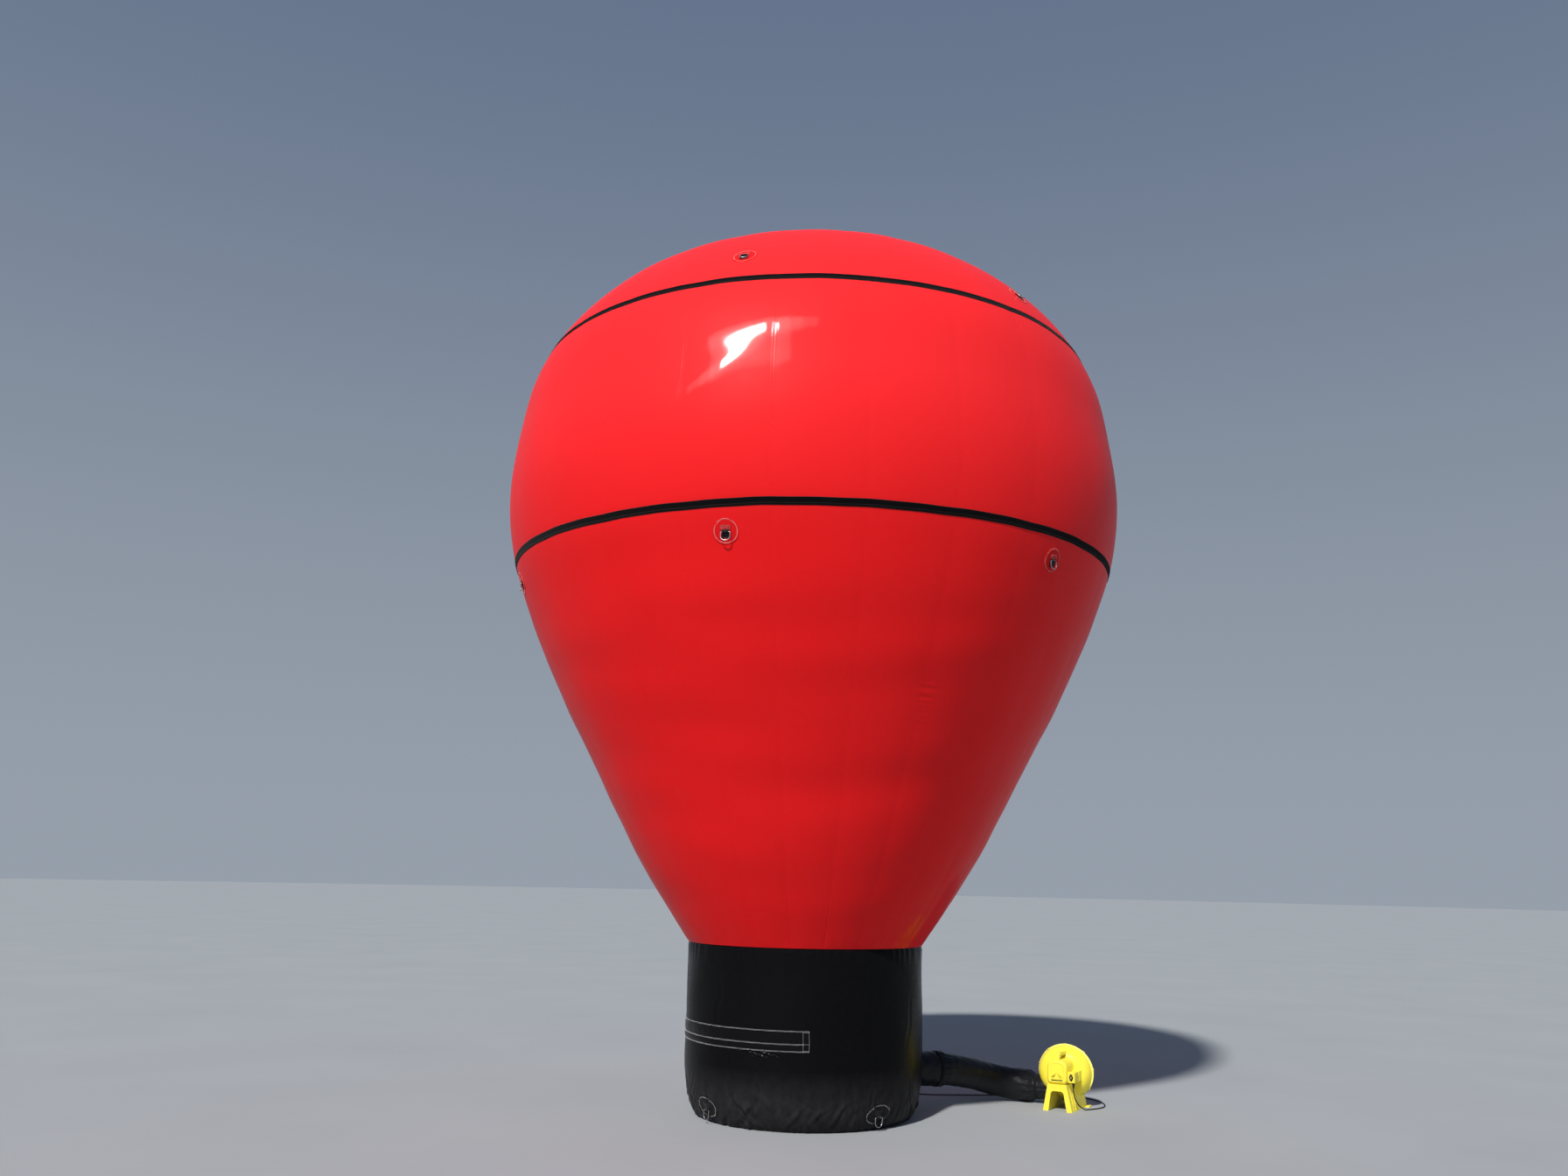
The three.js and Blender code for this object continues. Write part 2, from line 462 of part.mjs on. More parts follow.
// the plug's own end, off the coil
const tailFrom = coilAz(121.5, COIL.outer + LEAD_D / 2 + GAP), tailTo = tailFrom.clone().add(new Vector3(-62, -38, 13 - ground));
const tailLine = new THREE.CatmullRomCurve3([tailFrom, tailFrom.clone().lerp(tailTo, 0.5).add(new Vector3(-2, 3, -2)), tailTo], false, 'centripetal');
add(balloon, 'power_lead_tail', new THREE.ExtrudeGeometry(round(LEAD_D, 8), { steps: 4, extrudePath: tailLine }), 'rubber');
const plugDir = tailLine.getTangent(1).setZ(0).normalize();
const plug = new Group();
plug.position.copy(tailTo).addScaledVector(plugDir, 1).setZ(0);
plug.rotation.z = Math.atan2(plugDir.y, plugDir.x);
balloon.add(plug);
const relief = new THREE.LatheGeometry([[0, 0], [5.5, 0], [8.5, 30], [0, 30]].map(([r, x]) => new Vector2(r, x)), 12);
relief.rotateZ(-Math.PI / 2);
relief.translate(0, 0, 13);
const pin = (y, z, turn) => {
  const g = box(66, 86, -3.2, 3.2, -0.9, 0.9);
  g.rotateX(turn * RAD);
  g.translate(0, y, 13 + z);
  return g;
};
add(plug, 'power_plug', join(relief, box(29, 68, -17, 17, 1, 25), pin(-7.9, 2, 60), pin(7.9, 2, -60), pin(0, -6.5, 0)), 'rubber');

export default balloon;
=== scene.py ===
"""Looks of the advertising sky balloon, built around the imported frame. Metres, +Z up."""
import math

import bpy
import numpy as np
from mathutils import Matrix, Vector

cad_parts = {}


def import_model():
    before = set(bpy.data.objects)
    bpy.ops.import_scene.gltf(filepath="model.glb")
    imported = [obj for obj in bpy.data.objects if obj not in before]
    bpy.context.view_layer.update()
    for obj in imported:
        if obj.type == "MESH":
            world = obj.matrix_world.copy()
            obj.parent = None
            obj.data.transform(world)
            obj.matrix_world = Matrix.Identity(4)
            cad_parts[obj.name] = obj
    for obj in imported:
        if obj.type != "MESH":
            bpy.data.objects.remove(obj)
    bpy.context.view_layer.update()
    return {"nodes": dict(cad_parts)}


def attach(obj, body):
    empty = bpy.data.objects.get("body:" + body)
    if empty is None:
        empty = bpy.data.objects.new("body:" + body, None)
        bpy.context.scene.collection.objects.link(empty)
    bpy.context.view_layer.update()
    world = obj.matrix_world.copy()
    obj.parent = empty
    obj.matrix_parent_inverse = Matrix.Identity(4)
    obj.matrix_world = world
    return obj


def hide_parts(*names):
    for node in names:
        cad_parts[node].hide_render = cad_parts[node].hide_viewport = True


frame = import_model()
NODES = frame["nodes"]
scene = bpy.context.scene
RAD = math.pi / 180

# ------------------------------------------------------------------ camera
camera_data = bpy.data.cameras.new("camera")
camera_data.lens = 29.33
camera_data.sensor_width = 36
camera_data.clip_end = 400
camera = bpy.data.objects.new("camera", camera_data)
scene.collection.objects.link(camera)
camera.matrix_world = Matrix((
    (0.99978, -0.01832, 0.01045, -0.1062),
    (0.00615, -0.2207, -0.97532, -9.9282),
    (0.02018, 0.97517, -0.22054, 1.674),
    (0, 0, 0, 1)))
scene.camera = camera
scene.view_settings.view_transform = 'Standard'

# ------------------------------------------------------------------ numbers shared with the CAD source
TOP_Z, SEAM_Z, BASE_R = 6.590, 1.198, 0.872
LOWER_BAND_Z, UPPER_BAND_Z, BAND_W = 3.956, 5.539, 0.054
ENVELOPE = [
    (1.198, .872), (1.400, 1.012), (1.650, 1.178), (1.950, 1.357), (2.350, 1.566), (2.800, 1.808), (3.250, 2.031),
    (3.650, 2.198), (4.050, 2.329), (4.493, 2.381), (4.950, 2.338), (5.350, 2.256), (5.700, 2.079), (6.000, 1.817),
    (6.240, 1.495), (6.420, 1.095), (6.540, .610), (6.590, 0), (6.540, -.610)]
BASE = [(0, .765), (.012, .788), (.040, .810), (.090, .832), (.160, .850), (.240, .863), (.330, .871), (.400, .872)]
INLET_AZ, INLET_Z, INLET_SLOPE = 25, .275, -.06
BLOWER_AT, BLOWER_TURN = Vector((2.060, .550, 0)), -29 * RAD
LEAD_D = .0085
GROUND = LEAD_D / 2 + .0012
COIL_X, COIL_Y, COIL_IN, COIL_OUT = .250, 1.230, .0315, .0665

blower_frame = Matrix.Translation(BLOWER_AT) @ Matrix.Rotation(BLOWER_TURN, 4, 'Z')


def in_blower(x, y, z):
    return blower_frame @ Vector((x, y, z))


# ------------------------------------------------------------------ material helpers
MATERIALS = {}


class Tree:
    """A short way to write a material's nodes."""

    def __init__(self, name):
        self.material = bpy.data.materials.new(name)
        self.material.use_nodes = True
        self.nodes, self.links = self.material.node_tree.nodes, self.material.node_tree.links
        self.shader = self.nodes["Principled BSDF"]
        self.place = self.nodes.new("ShaderNodeTexCoord").outputs["Object"]
        MATERIALS[name] = self.material

    def join(self, output, socket):
        self.links.new(output, socket)

    def put(self, socket, value):
        if isinstance(value, bpy.types.NodeSocket):
            self.links.new(value, socket)
        else:
            socket.default_value = value

    def noise(self, scale, detail=3, rough=.5, stretch=None, distortion=0, place=None, seed=0.0):
        n = self.nodes.new("ShaderNodeTexNoise")
        n.inputs["Scale"].default_value = scale
        n.inputs["Detail"].default_value = detail
        n.inputs["Roughness"].default_value = rough
        n.inputs["Distortion"].default_value = distortion
        place = place or self.place
        if stretch or seed:
            m = self.nodes.new("ShaderNodeMapping")
            m.inputs["Scale"].default_value = stretch or (1, 1, 1)
            m.inputs["Location"].default_value = (seed, seed * .7, -seed)
            self.join(place, m.inputs["Vector"])
            place = m.outputs["Vector"]
        self.join(place, n.inputs["Vector"])
        return n.outputs["Fac"]

    def ramp(self, value, a, b, low=0.0, high=1.0):
        n = self.nodes.new("ShaderNodeMapRange")
        n.inputs["From Min"].default_value, n.inputs["From Max"].default_value = a, b
        n.inputs["To Min"].default_value, n.inputs["To Max"].default_value = low, high
        self.join(value, n.inputs["Value"])
        return n.outputs["Result"]

    def math(self, op, a, b=0.0, clamp=False):
        n = self.nodes.new("ShaderNodeMath")
        n.operation, n.use_clamp = op, clamp
        self.put(n.inputs[0], a)
        self.put(n.inputs[1], b)
        return n.outputs[0]

    def mix(self, fac, a, b):
        n = self.nodes.new("ShaderNodeMix")
        n.data_type = 'RGBA'
        self.put(n.inputs[0], fac)
        for socket, value in ((n.inputs[6], a), (n.inputs[7], b)):
            self.put(socket, value if isinstance(value, bpy.types.NodeSocket) else (*value, 1.0))
        return n.outputs[2]

    def attribute(self, name):
        n = self.nodes.new("ShaderNodeAttribute")
        n.attribute_name = name
        return n.outputs["Fac"]

    def height(self):
        n = self.nodes.new("ShaderNodeSeparateXYZ")
        self.join(self.place, n.inputs[0])
        return n.outputs["Z"]

    def bump(self, *layers):
        """layers are (value, distance in metres, strength)"""
        last = None
        for value, distance, strength in layers:
            n = self.nodes.new("ShaderNodeBump")
            n.inputs["Distance"].default_value = distance
            n.inputs["Strength"].default_value = strength
            self.join(value, n.inputs["Height"])
            if last is not None:
                self.join(last, n.inputs["Normal"])
            last = n.outputs["Normal"]
        self.join(last, self.shader.inputs["Normal"])
        return last


def pvc(name, base, deep, rough=.24, coat=.35, dust_and_sheen=None, dust_and_sheen_top=.35, ior=1.48, coat_rough=.09, painted_upper_sheen=None):
    """Coated PVC sheet: an even gloss with a faint weave under it, soft clouds of colour, and handling marks;
    optionally a painted sheen that pales the colour higher up, and dust towards the bottom that on some sheets also
    serves as painted sheen.
    """
    t = Tree(name)
    cloud = t.noise(1.3, 4, .55)
    fine = t.noise(38, 3, .6)
    colour = t.mix(t.ramp(cloud, .3, .7), base, deep)
    colour = t.mix(t.ramp(fine, .35, .75, 0, .06), colour, tuple(min(1, c * 1.25 + .01) for c in base))
    # painted sheen: from 3.75 m to 4.9 m up the colour blends to a paler red that stands in for the gloss's broad glow
    # round the highlight
    if painted_upper_sheen:
        colour = t.mix(t.ramp(t.height(), 3.75, 4.9), colour, painted_upper_sheen)
    scuff = t.ramp(t.noise(7, 6, .72, stretch=(1, 1, .45), seed=3.1), .60, .78)
    # dust towards the bottom; on the base sheet and the duct it also serves as painted sheen
    if dust_and_sheen:
        low = t.ramp(t.height(), dust_and_sheen_top, dust_and_sheen_top * .45)
        patchy = t.ramp(t.noise(17, 6, .72, stretch=(1, 1, .60), seed=1.7), .25, .80, .25, 1.0)
        dust_and_sheen_amount = t.math('MULTIPLY', t.math('MULTIPLY', low, patchy, True), .42)
        colour = t.mix(dust_and_sheen_amount, colour, dust_and_sheen)
    t.join(colour, t.shader.inputs["Base Color"])
    r = t.ramp(t.noise(5.5, 5, .6, seed=.6), .25, .75, rough - .03, rough + .05)
    r = t.math('ADD', r, t.math('MULTIPLY', scuff, .06))
    if dust_and_sheen:
        r = t.math('ADD', r, t.math('MULTIPLY', dust_and_sheen_amount, .5))
    t.join(r, t.shader.inputs["Roughness"])
    t.shader.inputs["IOR"].default_value = ior
    t.shader.inputs["Coat Weight"].default_value = coat
    t.shader.inputs["Coat Roughness"].default_value = coat_rough
    t.bump((t.noise(2.6, 3, .5, seed=5.0), .006, .05), (t.noise(26, 3, .5, seed=2.0), .0008, .09), (t.noise(58, 2, .5, seed=7.0), .0004, .09), (t.noise(900, 2, .5), .0002, .14))
    return t.material


def woven(name, base, pale, pitch=.0016, rough=.62, pile=False):
    """Webbing or tape: ribs across it with the yarn's own noise, and worn paler on the high yarns."""
    t = Tree(name)
    uv = t.nodes.new("ShaderNodeUVMap")
    split = t.nodes.new("ShaderNodeSeparateXYZ")
    t.join(uv.outputs["UV"], split.inputs[0])
    w = 2 * math.pi / pitch
    across = t.math('SINE', t.math('MULTIPLY', split.outputs["X"], w))
    along = t.math('SINE', t.math('MULTIPLY', split.outputs["Y"], w * .62))
    weave = t.math('MULTIPLY', across, along)
    grain = t.noise(420 if not pile else 900, 4, .7)
    cloud = t.noise(9, 4, .6)
    colour = t.mix(t.ramp(cloud, .3, .75), base, tuple(c * .6 for c in base))
    colour = t.mix(t.math('MULTIPLY', t.ramp(grain, .5, .8), .45), colour, pale)
    t.join(colour, t.shader.inputs["Base Color"])
    t.join(t.ramp(grain, .3, .7, rough - .06, rough + .12), t.shader.inputs["Roughness"])
    t.shader.inputs["IOR"].default_value = 1.08 if pile else 1.18
    t.shader.inputs["Sheen Weight"].default_value = .04 if pile else .08
    t.bump((weave, .0005, .5), (grain, .0006, .5 if pile else .3))
    return t.material


def moulded(name, base, worn, rough=.42, dirt=None, spread=.06, coat=0.0, ior=1.30):
    """Moulded plastic: fine spark-eroded grain, faint flow clouds, scuffs and grime."""
    t = Tree(name)
    cloud = t.noise(6, 4, .55)
    scratch = t.ramp(t.noise(60, 6, .75, stretch=(1, 1, .18), seed=4.0), .64, .76)
    colour = t.mix(t.ramp(cloud, .3, .7, 0, .6), base, tuple(c * .88 for c in base))
    colour = t.mix(t.math('MULTIPLY', scratch, .35), colour, worn)
    if dirt:
        grime = t.ramp(t.noise(16, 6, .7, seed=8.0), .55, .80)
        low = t.ramp(t.height(), .14, .0, .15, 1.0)
        grime = t.math('MULTIPLY', grime, low)
        colour = t.mix(t.math('MULTIPLY', grime, .5), colour, dirt)
    t.join(colour, t.shader.inputs["Base Color"])
    r = t.ramp(t.noise(22, 5, .6, seed=1.0), .25, .75, rough - spread, rough + spread)
    t.join(t.math('ADD', r, t.math('MULTIPLY', scratch, .12)), t.shader.inputs["Roughness"])
    t.shader.inputs["IOR"].default_value = ior
    t.shader.inputs["Coat Weight"].default_value = coat
    t.bump((t.noise(900, 3, .6), .00018, .35), (t.noise(30, 3, .5, seed=6.0), .0012, .10))
    return t.material


def metal(name, base, dull, rough=.25, painted=False):
    t = Tree(name)
    cloud = t.noise(40, 5, .6)
    spots = t.ramp(t.noise(220, 4, .7, seed=2.0), .60, .75)
    colour = t.mix(t.ramp(cloud, .35, .7), base, dull)
    colour = t.mix(t.math('MULTIPLY', spots, .35), colour, tuple(c * .55 for c in dull))
    t.join(colour, t.shader.inputs["Base Color"])
    t.join(t.ramp(cloud, .3, .7, rough, rough + .16), t.shader.inputs["Roughness"])
    t.shader.inputs["Metallic"].default_value = 0.0 if painted else 1.0
    t.bump((t.noise(300, 4, .6), .0003, .25), (cloud, .0008, .15))
    return t.material


def thread(name, base, dull):
    t = Tree(name)
    grain = t.noise(1500, 3, .6)
    colour = t.mix(t.ramp(t.noise(12, 4, .6), .3, .7), base, dull)
    t.join(colour, t.shader.inputs["Base Color"])
    t.join(t.ramp(grain, .3, .7, .55, .75), t.shader.inputs["Roughness"])
    t.shader.inputs["IOR"].default_value = 1.18
    t.shader.inputs["Sheen Weight"].default_value = .1
    t.bump((grain, .0003, .4))
    return t.material


# The red's paler colour high up is a painted sheen, not a change in the sheet.
RED = pvc("red_pvc_sheet", (.790, .0098, .0115), (.755, .0084, .0100), rough=.46, coat=.16, ior=1.10, coat_rough=.055, painted_upper_sheen=(.800, .0215, .0250))
RED_PATCH = pvc("red_pvc_patch", (.690, .0110, .0135), (.620, .0090, .0110), rough=.34, coat=.08, ior=1.08)
# The base sheet's dust is real dust at the foot, and above it up to 0.40 m a painted grey sheen on the foot's bulge.
BLACK = pvc("black_pvc_sheet", (.0040, .0040, .0046), (.0026, .0026, .0031), rough=.27, coat=.02, dust_and_sheen=(.056, .054, .059), dust_and_sheen_top=.40, ior=1.12)
# The blue tint in the duct's colours is a painted sky reflection.
DUCT_BLACK = pvc("black_pvc_duct", (.0050, .0058, .0082), (.0036, .0042, .0062), rough=.34, coat=.01, dust_and_sheen=(.030, .031, .037), dust_and_sheen_top=.24, ior=1.30)
TAPE = woven("hook_loop_tape", (.0035, .0035, .0042), (.0110, .0110, .0130), pitch=.0022, rough=.80, pile=True)
TAPE_LINE = woven("tape_worn_line", (.026, .017, .015), (.050, .038, .034), pitch=.0016, rough=.76)
TAPE_EDGE = woven("tape_edge_binding", (.030, .026, .026), (.080, .070, .070), pitch=.0016, rough=.72)
WEB_BLACK = woven("black_webbing", (.0080, .0080, .0090), (.045, .045, .050))
WEB_RED = woven("red_webbing_tab", (.560, .014, .016), (.80, .10, .10))
THREAD_PALE = thread("thread_pink", (.86, .46, .43), (.80, .34, .32))
THREAD_DARK = thread("thread_dark", (.050, .050, .052), (.030, .030, .032))
THREAD_GREY = thread("thread_grey", (.50, .49, .50), (.34, .33, .34))
STEEL = metal("plated_steel", (.48, .49, .51), (.32, .33, .35), rough=.26)
MOTOR_PAINT = metal("motor_paint", (.10, .105, .11), (.07, .072, .076), rough=.42, painted=True)
YELLOW = moulded("yellow_housing", (.895, .765, .062), (.94, .87, .32), rough=.33, dirt=(.26, .19, .07), ior=1.30)
YELLOW_EDGE = moulded("yellow_rim", (.930, .860, .200), (.95, .90, .45), rough=.42)
BLACK_PLASTIC = moulded("black_housing", (.0150, .0150, .0165), (.060, .060, .064), rough=.46)
RUBBER = moulded("rubber_lead", (.0130, .0130, .0140), (.050, .048, .046), rough=.56, dirt=(.10, .085, .065))
PALE_MARK = moulded("dull_switch_mark", (.44, .37, .11), (.34, .29, .10), rough=.46)


# ------------------------------------------------------------------ mesh helpers
def build(name, parts, materials, body="balloon", replaces=(), sharp=38, smooth=True):
    """One object from parts, each (points, faces, material index) or (points, faces, material index, uv per point)."""
    points, faces, index, uvs, at = [], [], [], [], 0
    for part in parts:
        p, f, m = part[:3]
        uv = part[3] if len(part) > 3 and part[3] is not None else np.zeros((len(p), 2))
        points.append(np.asarray(p, float).reshape(-1, 3))
        uvs.append(np.asarray(uv, float).reshape(-1, 2))
        for block in (f if isinstance(f, list) else [f]):
            block = np.asarray(block)
            if len(block):
                faces.append(block + at)
                index.append(np.full(len(block), m))
        at += len(points[-1])
    points, uvs, index = np.concatenate(points), np.concatenate(uvs), np.concatenate(index)
    mesh = bpy.data.meshes.new(name)
    sizes = np.concatenate([np.full(len(b), b.shape[1]) for b in faces])
    loops = np.concatenate([b.reshape(-1) for b in faces])
    mesh.vertices.add(len(points))
    mesh.vertices.foreach_set("co", points.astype(np.float32).reshape(-1))
    mesh.loops.add(len(loops))
    mesh.loops.foreach_set("vertex_index", loops.astype(np.int32))
    mesh.polygons.add(len(sizes))
    mesh.polygons.foreach_set("loop_start", np.concatenate([[0], np.cumsum(sizes)[:-1]]).astype(np.int32))
    mesh.polygons.foreach_set("loop_total", sizes.astype(np.int32))
    mesh.polygons.foreach_set("material_index", index.astype(np.int32))
    mesh.update(calc_edges=True)
    layer = mesh.uv_layers.new(name="UVMap")
    layer.data.foreach_set("uv", uvs[loops].astype(np.float32).reshape(-1))
    mesh.validate()
    for m in (materials if isinstance(materials, (list, tuple)) else [materials]):
        mesh.materials.append(m)
    obj = bpy.data.objects.new(name, mesh)
    scene.collection.objects.link(obj)
    if smooth:
        mesh.polygons.foreach_set("use_smooth", np.ones(len(sizes), bool))
        mesh.set_sharp_from_angle(angle=sharp * RAD)
    if body:
        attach(obj, body)
    if replaces:
        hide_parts(*replaces)
    return obj


def quads(rows, cols, wrap=False, flip=False, start=0):
    """Faces of a grid of rows × cols points; wrap joins the last column to the first."""
    i, j = np.meshgrid(np.arange(rows - 1), np.arange(cols if wrap else cols - 1), indexing="ij")
    k = (j + 1) % cols
    f = np.stack([i * cols + j, i * cols + k, (i + 1) * cols + k, (i + 1) * cols + j], -1).reshape(-1, 4)
    return (f[:, ::-1] if flip else f) + start


def fan(ring, centre, flip=False):
    ring = np.asarray(ring)
    f = np.stack([ring, np.roll(ring, -1), np.full(len(ring), centre)], -1)
    return f[:, ::-1] if flip else f


def closed_tube(rings, cap=True):
    """Rings of the same count of points, joined into one closed solid, with its ends filled."""
    rings = np.asarray(rings, float)
    n, m = rings.shape[:2]
    points = rings.reshape(-1, 3)
    faces = [quads(n, m, wrap=True)]
    if cap:
        points = np.concatenate([points, rings[0].mean(0)[None], rings[-1].mean(0)[None]])
        faces.append(fan(np.arange(m), n * m, flip=True))
        faces.append(fan(np.arange((n - 1) * m, n * m), n * m + 1))
    return points, faces


def frames_along(path):
    """Tangent, side and up at each point of a path, turning as little as may be."""
    path = np.asarray(path, float)
    t = np.gradient(path, axis=0)
    t /= np.linalg.norm(t, axis=1)[:, None]
    up = np.array([0, 0, 1.0]) if abs(t[0][2]) < .9 else np.array([1.0, 0, 0])
    sides, ups = [], []
    for tangent in t:
        side = np.cross(tangent, up)
        side /= np.linalg.norm(side)
        up = np.cross(side, tangent)
        sides.append(side)
        ups.append(up)
    return t, np.array(sides), np.array(ups)


def tube(path, radius, sides=10, closed=False, cap=True):
    """A round tube along a path. radius is a number or one for each point."""
    path = np.asarray(path, float)
    radius = np.broadcast_to(np.asarray(radius, float), (len(path),))
    if closed:
        t = np.roll(path, -1, 0) - np.roll(path, 1, 0)
        t /= np.linalg.norm(t, axis=1)[:, None]
        normal = np.cross(path[1] - path[0], path[len(path) // 3] - path[0])
        normal /= np.linalg.norm(normal)
        side, up = np.cross(t, normal), np.broadcast_to(normal, t.shape)
    else:
        t, side, up = frames_along(path)
    a = np.arange(sides) * 2 * math.pi / sides
    rings = path[:, None] + radius[:, None, None] * (np.cos(a)[None, :, None] * side[:, None] + np.sin(a)[None, :, None] * up[:, None])
    if closed:
        n = len(path)
        points = rings.reshape(-1, 3)
        f = quads(n, sides, wrap=True)
        last = quads(2, sides, wrap=True)
        last = np.where(last >= sides, last - sides, last + (n - 1) * sides)
        return points, [f, last]
    return closed_tube(rings, cap)


STITCH = np.array([(0, 0, 1), (1, 0, 0), (0, 1, 0), (-1, 0, 0), (0, -1, 0), (0, 0, -1)], float)
STITCH_FACES = np.array([(0, 1, 2), (0, 2, 3), (0, 3, 4), (0, 4, 1), (5, 2, 1), (5, 3, 2), (5, 4, 3), (5, 1, 4)])


def stitches(path, normals, pitch=.0055, length=.0036, width=.0011, height=.0009, lift=.0002):
    """A row of stitches along a path on a surface."""
    path, normals = np.asarray(path, float), np.asarray(normals, float)
    step = np.linalg.norm(np.diff(path, axis=0), axis=1)
    walk = np.concatenate([[0], np.cumsum(step)])
    count = max(1, int(walk[-1] / pitch))
    s = (np.arange(count) + .5) * walk[-1] / count
    centre = np.stack([np.interp(s, walk, path[:, k]) for k in range(3)], -1)
    normal = np.stack([np.interp(s, walk, normals[:, k]) for k in range(3)], -1)
    normal /= np.linalg.norm(normal, axis=1)[:, None]
    i = np.clip(np.searchsorted(walk, s) - 1, 0, len(path) - 2)
    along = path[i + 1] - path[i]
    along /= np.linalg.norm(along, axis=1)[:, None]
    side = np.cross(normal, along)
    p = (centre + normal * lift)[:, None] + STITCH[None, :, 0, None] * along[:, None] * length / 2 \
        + STITCH[None, :, 1, None] * side[:, None] * width / 2 + STITCH[None, :, 2, None] * normal[:, None] * height
    f = (np.arange(count)[:, None, None] * 6 + STITCH_FACES[None]).reshape(-1, 3)
    return p.reshape(-1, 3), f


def smoothstep(a, b, x):
    t = np.clip((np.asarray(x, float) - a) / (b - a), 0, 1)
    return t * t * (3 - 2 * t)


def catmull(points, per=24):
    """Centripetal Catmull-Rom through the points, the ends reflected."""
    p = np.asarray(points, float)
    p = np.concatenate([[2 * p[0] - p[1]], p, [2 * p[-1] - p[-2]]])
    out = []
    for i in range(1, len(p) - 2):
        a, b, c, d = p[i - 1:i + 3]
        t0, t1, t2 = (max(1e-4, np.linalg.norm(v) ** .5) for v in (b - a, c - b, d - c))
        m0 = ((b - a) / t0 - (c - a) / (t0 + t1) + (c - b) / t1) * t1
        m1 = ((c - b) / t1 - (d - b) / (t1 + t2) + (d - c) / t2) * t1
        u = np.linspace(0, 1, per, endpoint=False)[:, None]
        out.append(b * (2 * u**3 - 3 * u**2 + 1) + m0 * (u**3 - 2 * u**2 + u) + c * (-2 * u**3 + 3 * u**2) + m1 * (u**3 - u**2))
    return np.concatenate(out + [p[-2][None]])


# ------------------------------------------------------------------ the lead
def coil_point(degrees, r, z=GROUND):
    return np.array([COIL_X + r * math.cos(degrees * RAD), COIL_Y + r * math.sin(degrees * RAD), z])


LEAD_EXIT = np.array(in_blower(.116, -.262, .1694))
LEAD_OUT = COIL_OUT + LEAD_D / 2 + .0003
route = [LEAD_EXIT, LEAD_EXIT + (0, 0, -.022), LEAD_EXIT + (.004, .002, -.050)] + [np.array((x / 1000, y / 1000, z / 1000)) for x, y, z in (
    (2056, 290, 80), (2088, 322, 38), (2128, 352, 12), (2172, 378, 4.45), (2240, 420, 4.45), (2310, 500, 4.45), (2345, 620, 4.45),
    (2335, 760, 4.45), (2270, 890, 4.45), (2140, 985, 4.45), (1960, 1020, 4.45), (1760, 1000, 4.45), (1568, 955, 4.45), (1286, 925, 4.45),
    (1050, 905, 4.45), (850, 935, 4.45), (650, 990, 4.45), (500, 1062, 4.45), (385, 1184, 4.45))] + [coil_point(40, LEAD_OUT)]
lead_path = list(catmull(route, 14)[:-1])
top_z = GROUND + .0087
for degrees in np.arange(40, 2281.6, 7.5):
    if degrees < 100:
        r, z = LEAD_OUT + (.0621 - LEAD_OUT) * smoothstep(40, 100, degrees), GROUND
    elif degrees < 1180:
        r, z = .0621 - .0087 * (degrees - 100) / 360, GROUND
    elif degrees < 1360:
        r, z = .0360, GROUND + .0087 * smoothstep(1180, 1360, degrees)
    elif degrees < 2191.6:
        r, z = .0360 + .0200 * (degrees - 1360) / 831.6, top_z
    else:
        r, z = .0560 + (LEAD_OUT - .0560) * smoothstep(2191.6, 2255, degrees), top_z - .0087 * smoothstep(2240, 2281.5, degrees)
    lead_path.append(coil_point(degrees, float(r), float(z)))
tail_from = coil_point(121.5, LEAD_OUT)
tail_to = tail_from + (-.062, -.038, .013 - GROUND)
tail = catmull([tail_from, (tail_from + tail_to) / 2 + (-.002, .003, -.002), tail_to], 8)
lead_path += list(tail)
lead_path = np.array(lead_path)
lead_path[:, 2] = np.maximum(lead_path[:, 2], GROUND)

curve = bpy.data.curves.new("mains_lead", 'CURVE')
curve.dimensions = '3D'
curve.bevel_depth = LEAD_D / 2
curve.bevel_resolution = 3
curve.use_fill_caps = True
spline = curve.splines.new('POLY')
spline.points.add(len(lead_path) - 1)
spline.points.foreach_set("co", np.concatenate([lead_path, np.ones((len(lead_path), 1))], 1).astype(np.float32).reshape(-1))
curve.materials.append(RUBBER)
lead = bpy.data.objects.new("mains_lead", curve)
scene.collection.objects.link(lead)
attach(lead, "balloon")
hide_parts("power_lead", "power_lead_coil", "power_lead_tail")

# ------------------------------------------------------------------ the balloon's outline
fine = catmull([(z, r) for z, r in ENVELOPE], 200)
first_below = np.argmax(fine[:, 1] <= 0)
fine = fine[:first_below + 1]
fine[-1] = (TOP_Z, 0)
walk = np.concatenate([[0], np.cumsum(np.linalg.norm(np.diff(fine, axis=0), axis=1))])
slope = np.gradient(fine, axis=0)
slope /= np.linalg.norm(slope, axis=1)[:, None]
POLE = walk[-1]


def env_at(s):
    """z, r and the outward direction's two parts at s along the outline."""
    z, r = np.interp(s, walk, fine[:, 0]), np.interp(s, walk, fine[:, 1])
    nr, nz = np.interp(s, walk, slope[:, 0]), -np.interp(s, walk, slope[:, 1])
    n = np.hypot(nr, nz)
    return z, r, nr / n, nz / n


def env_along(z):
    return np.interp(z, fine[:, 0], walk)


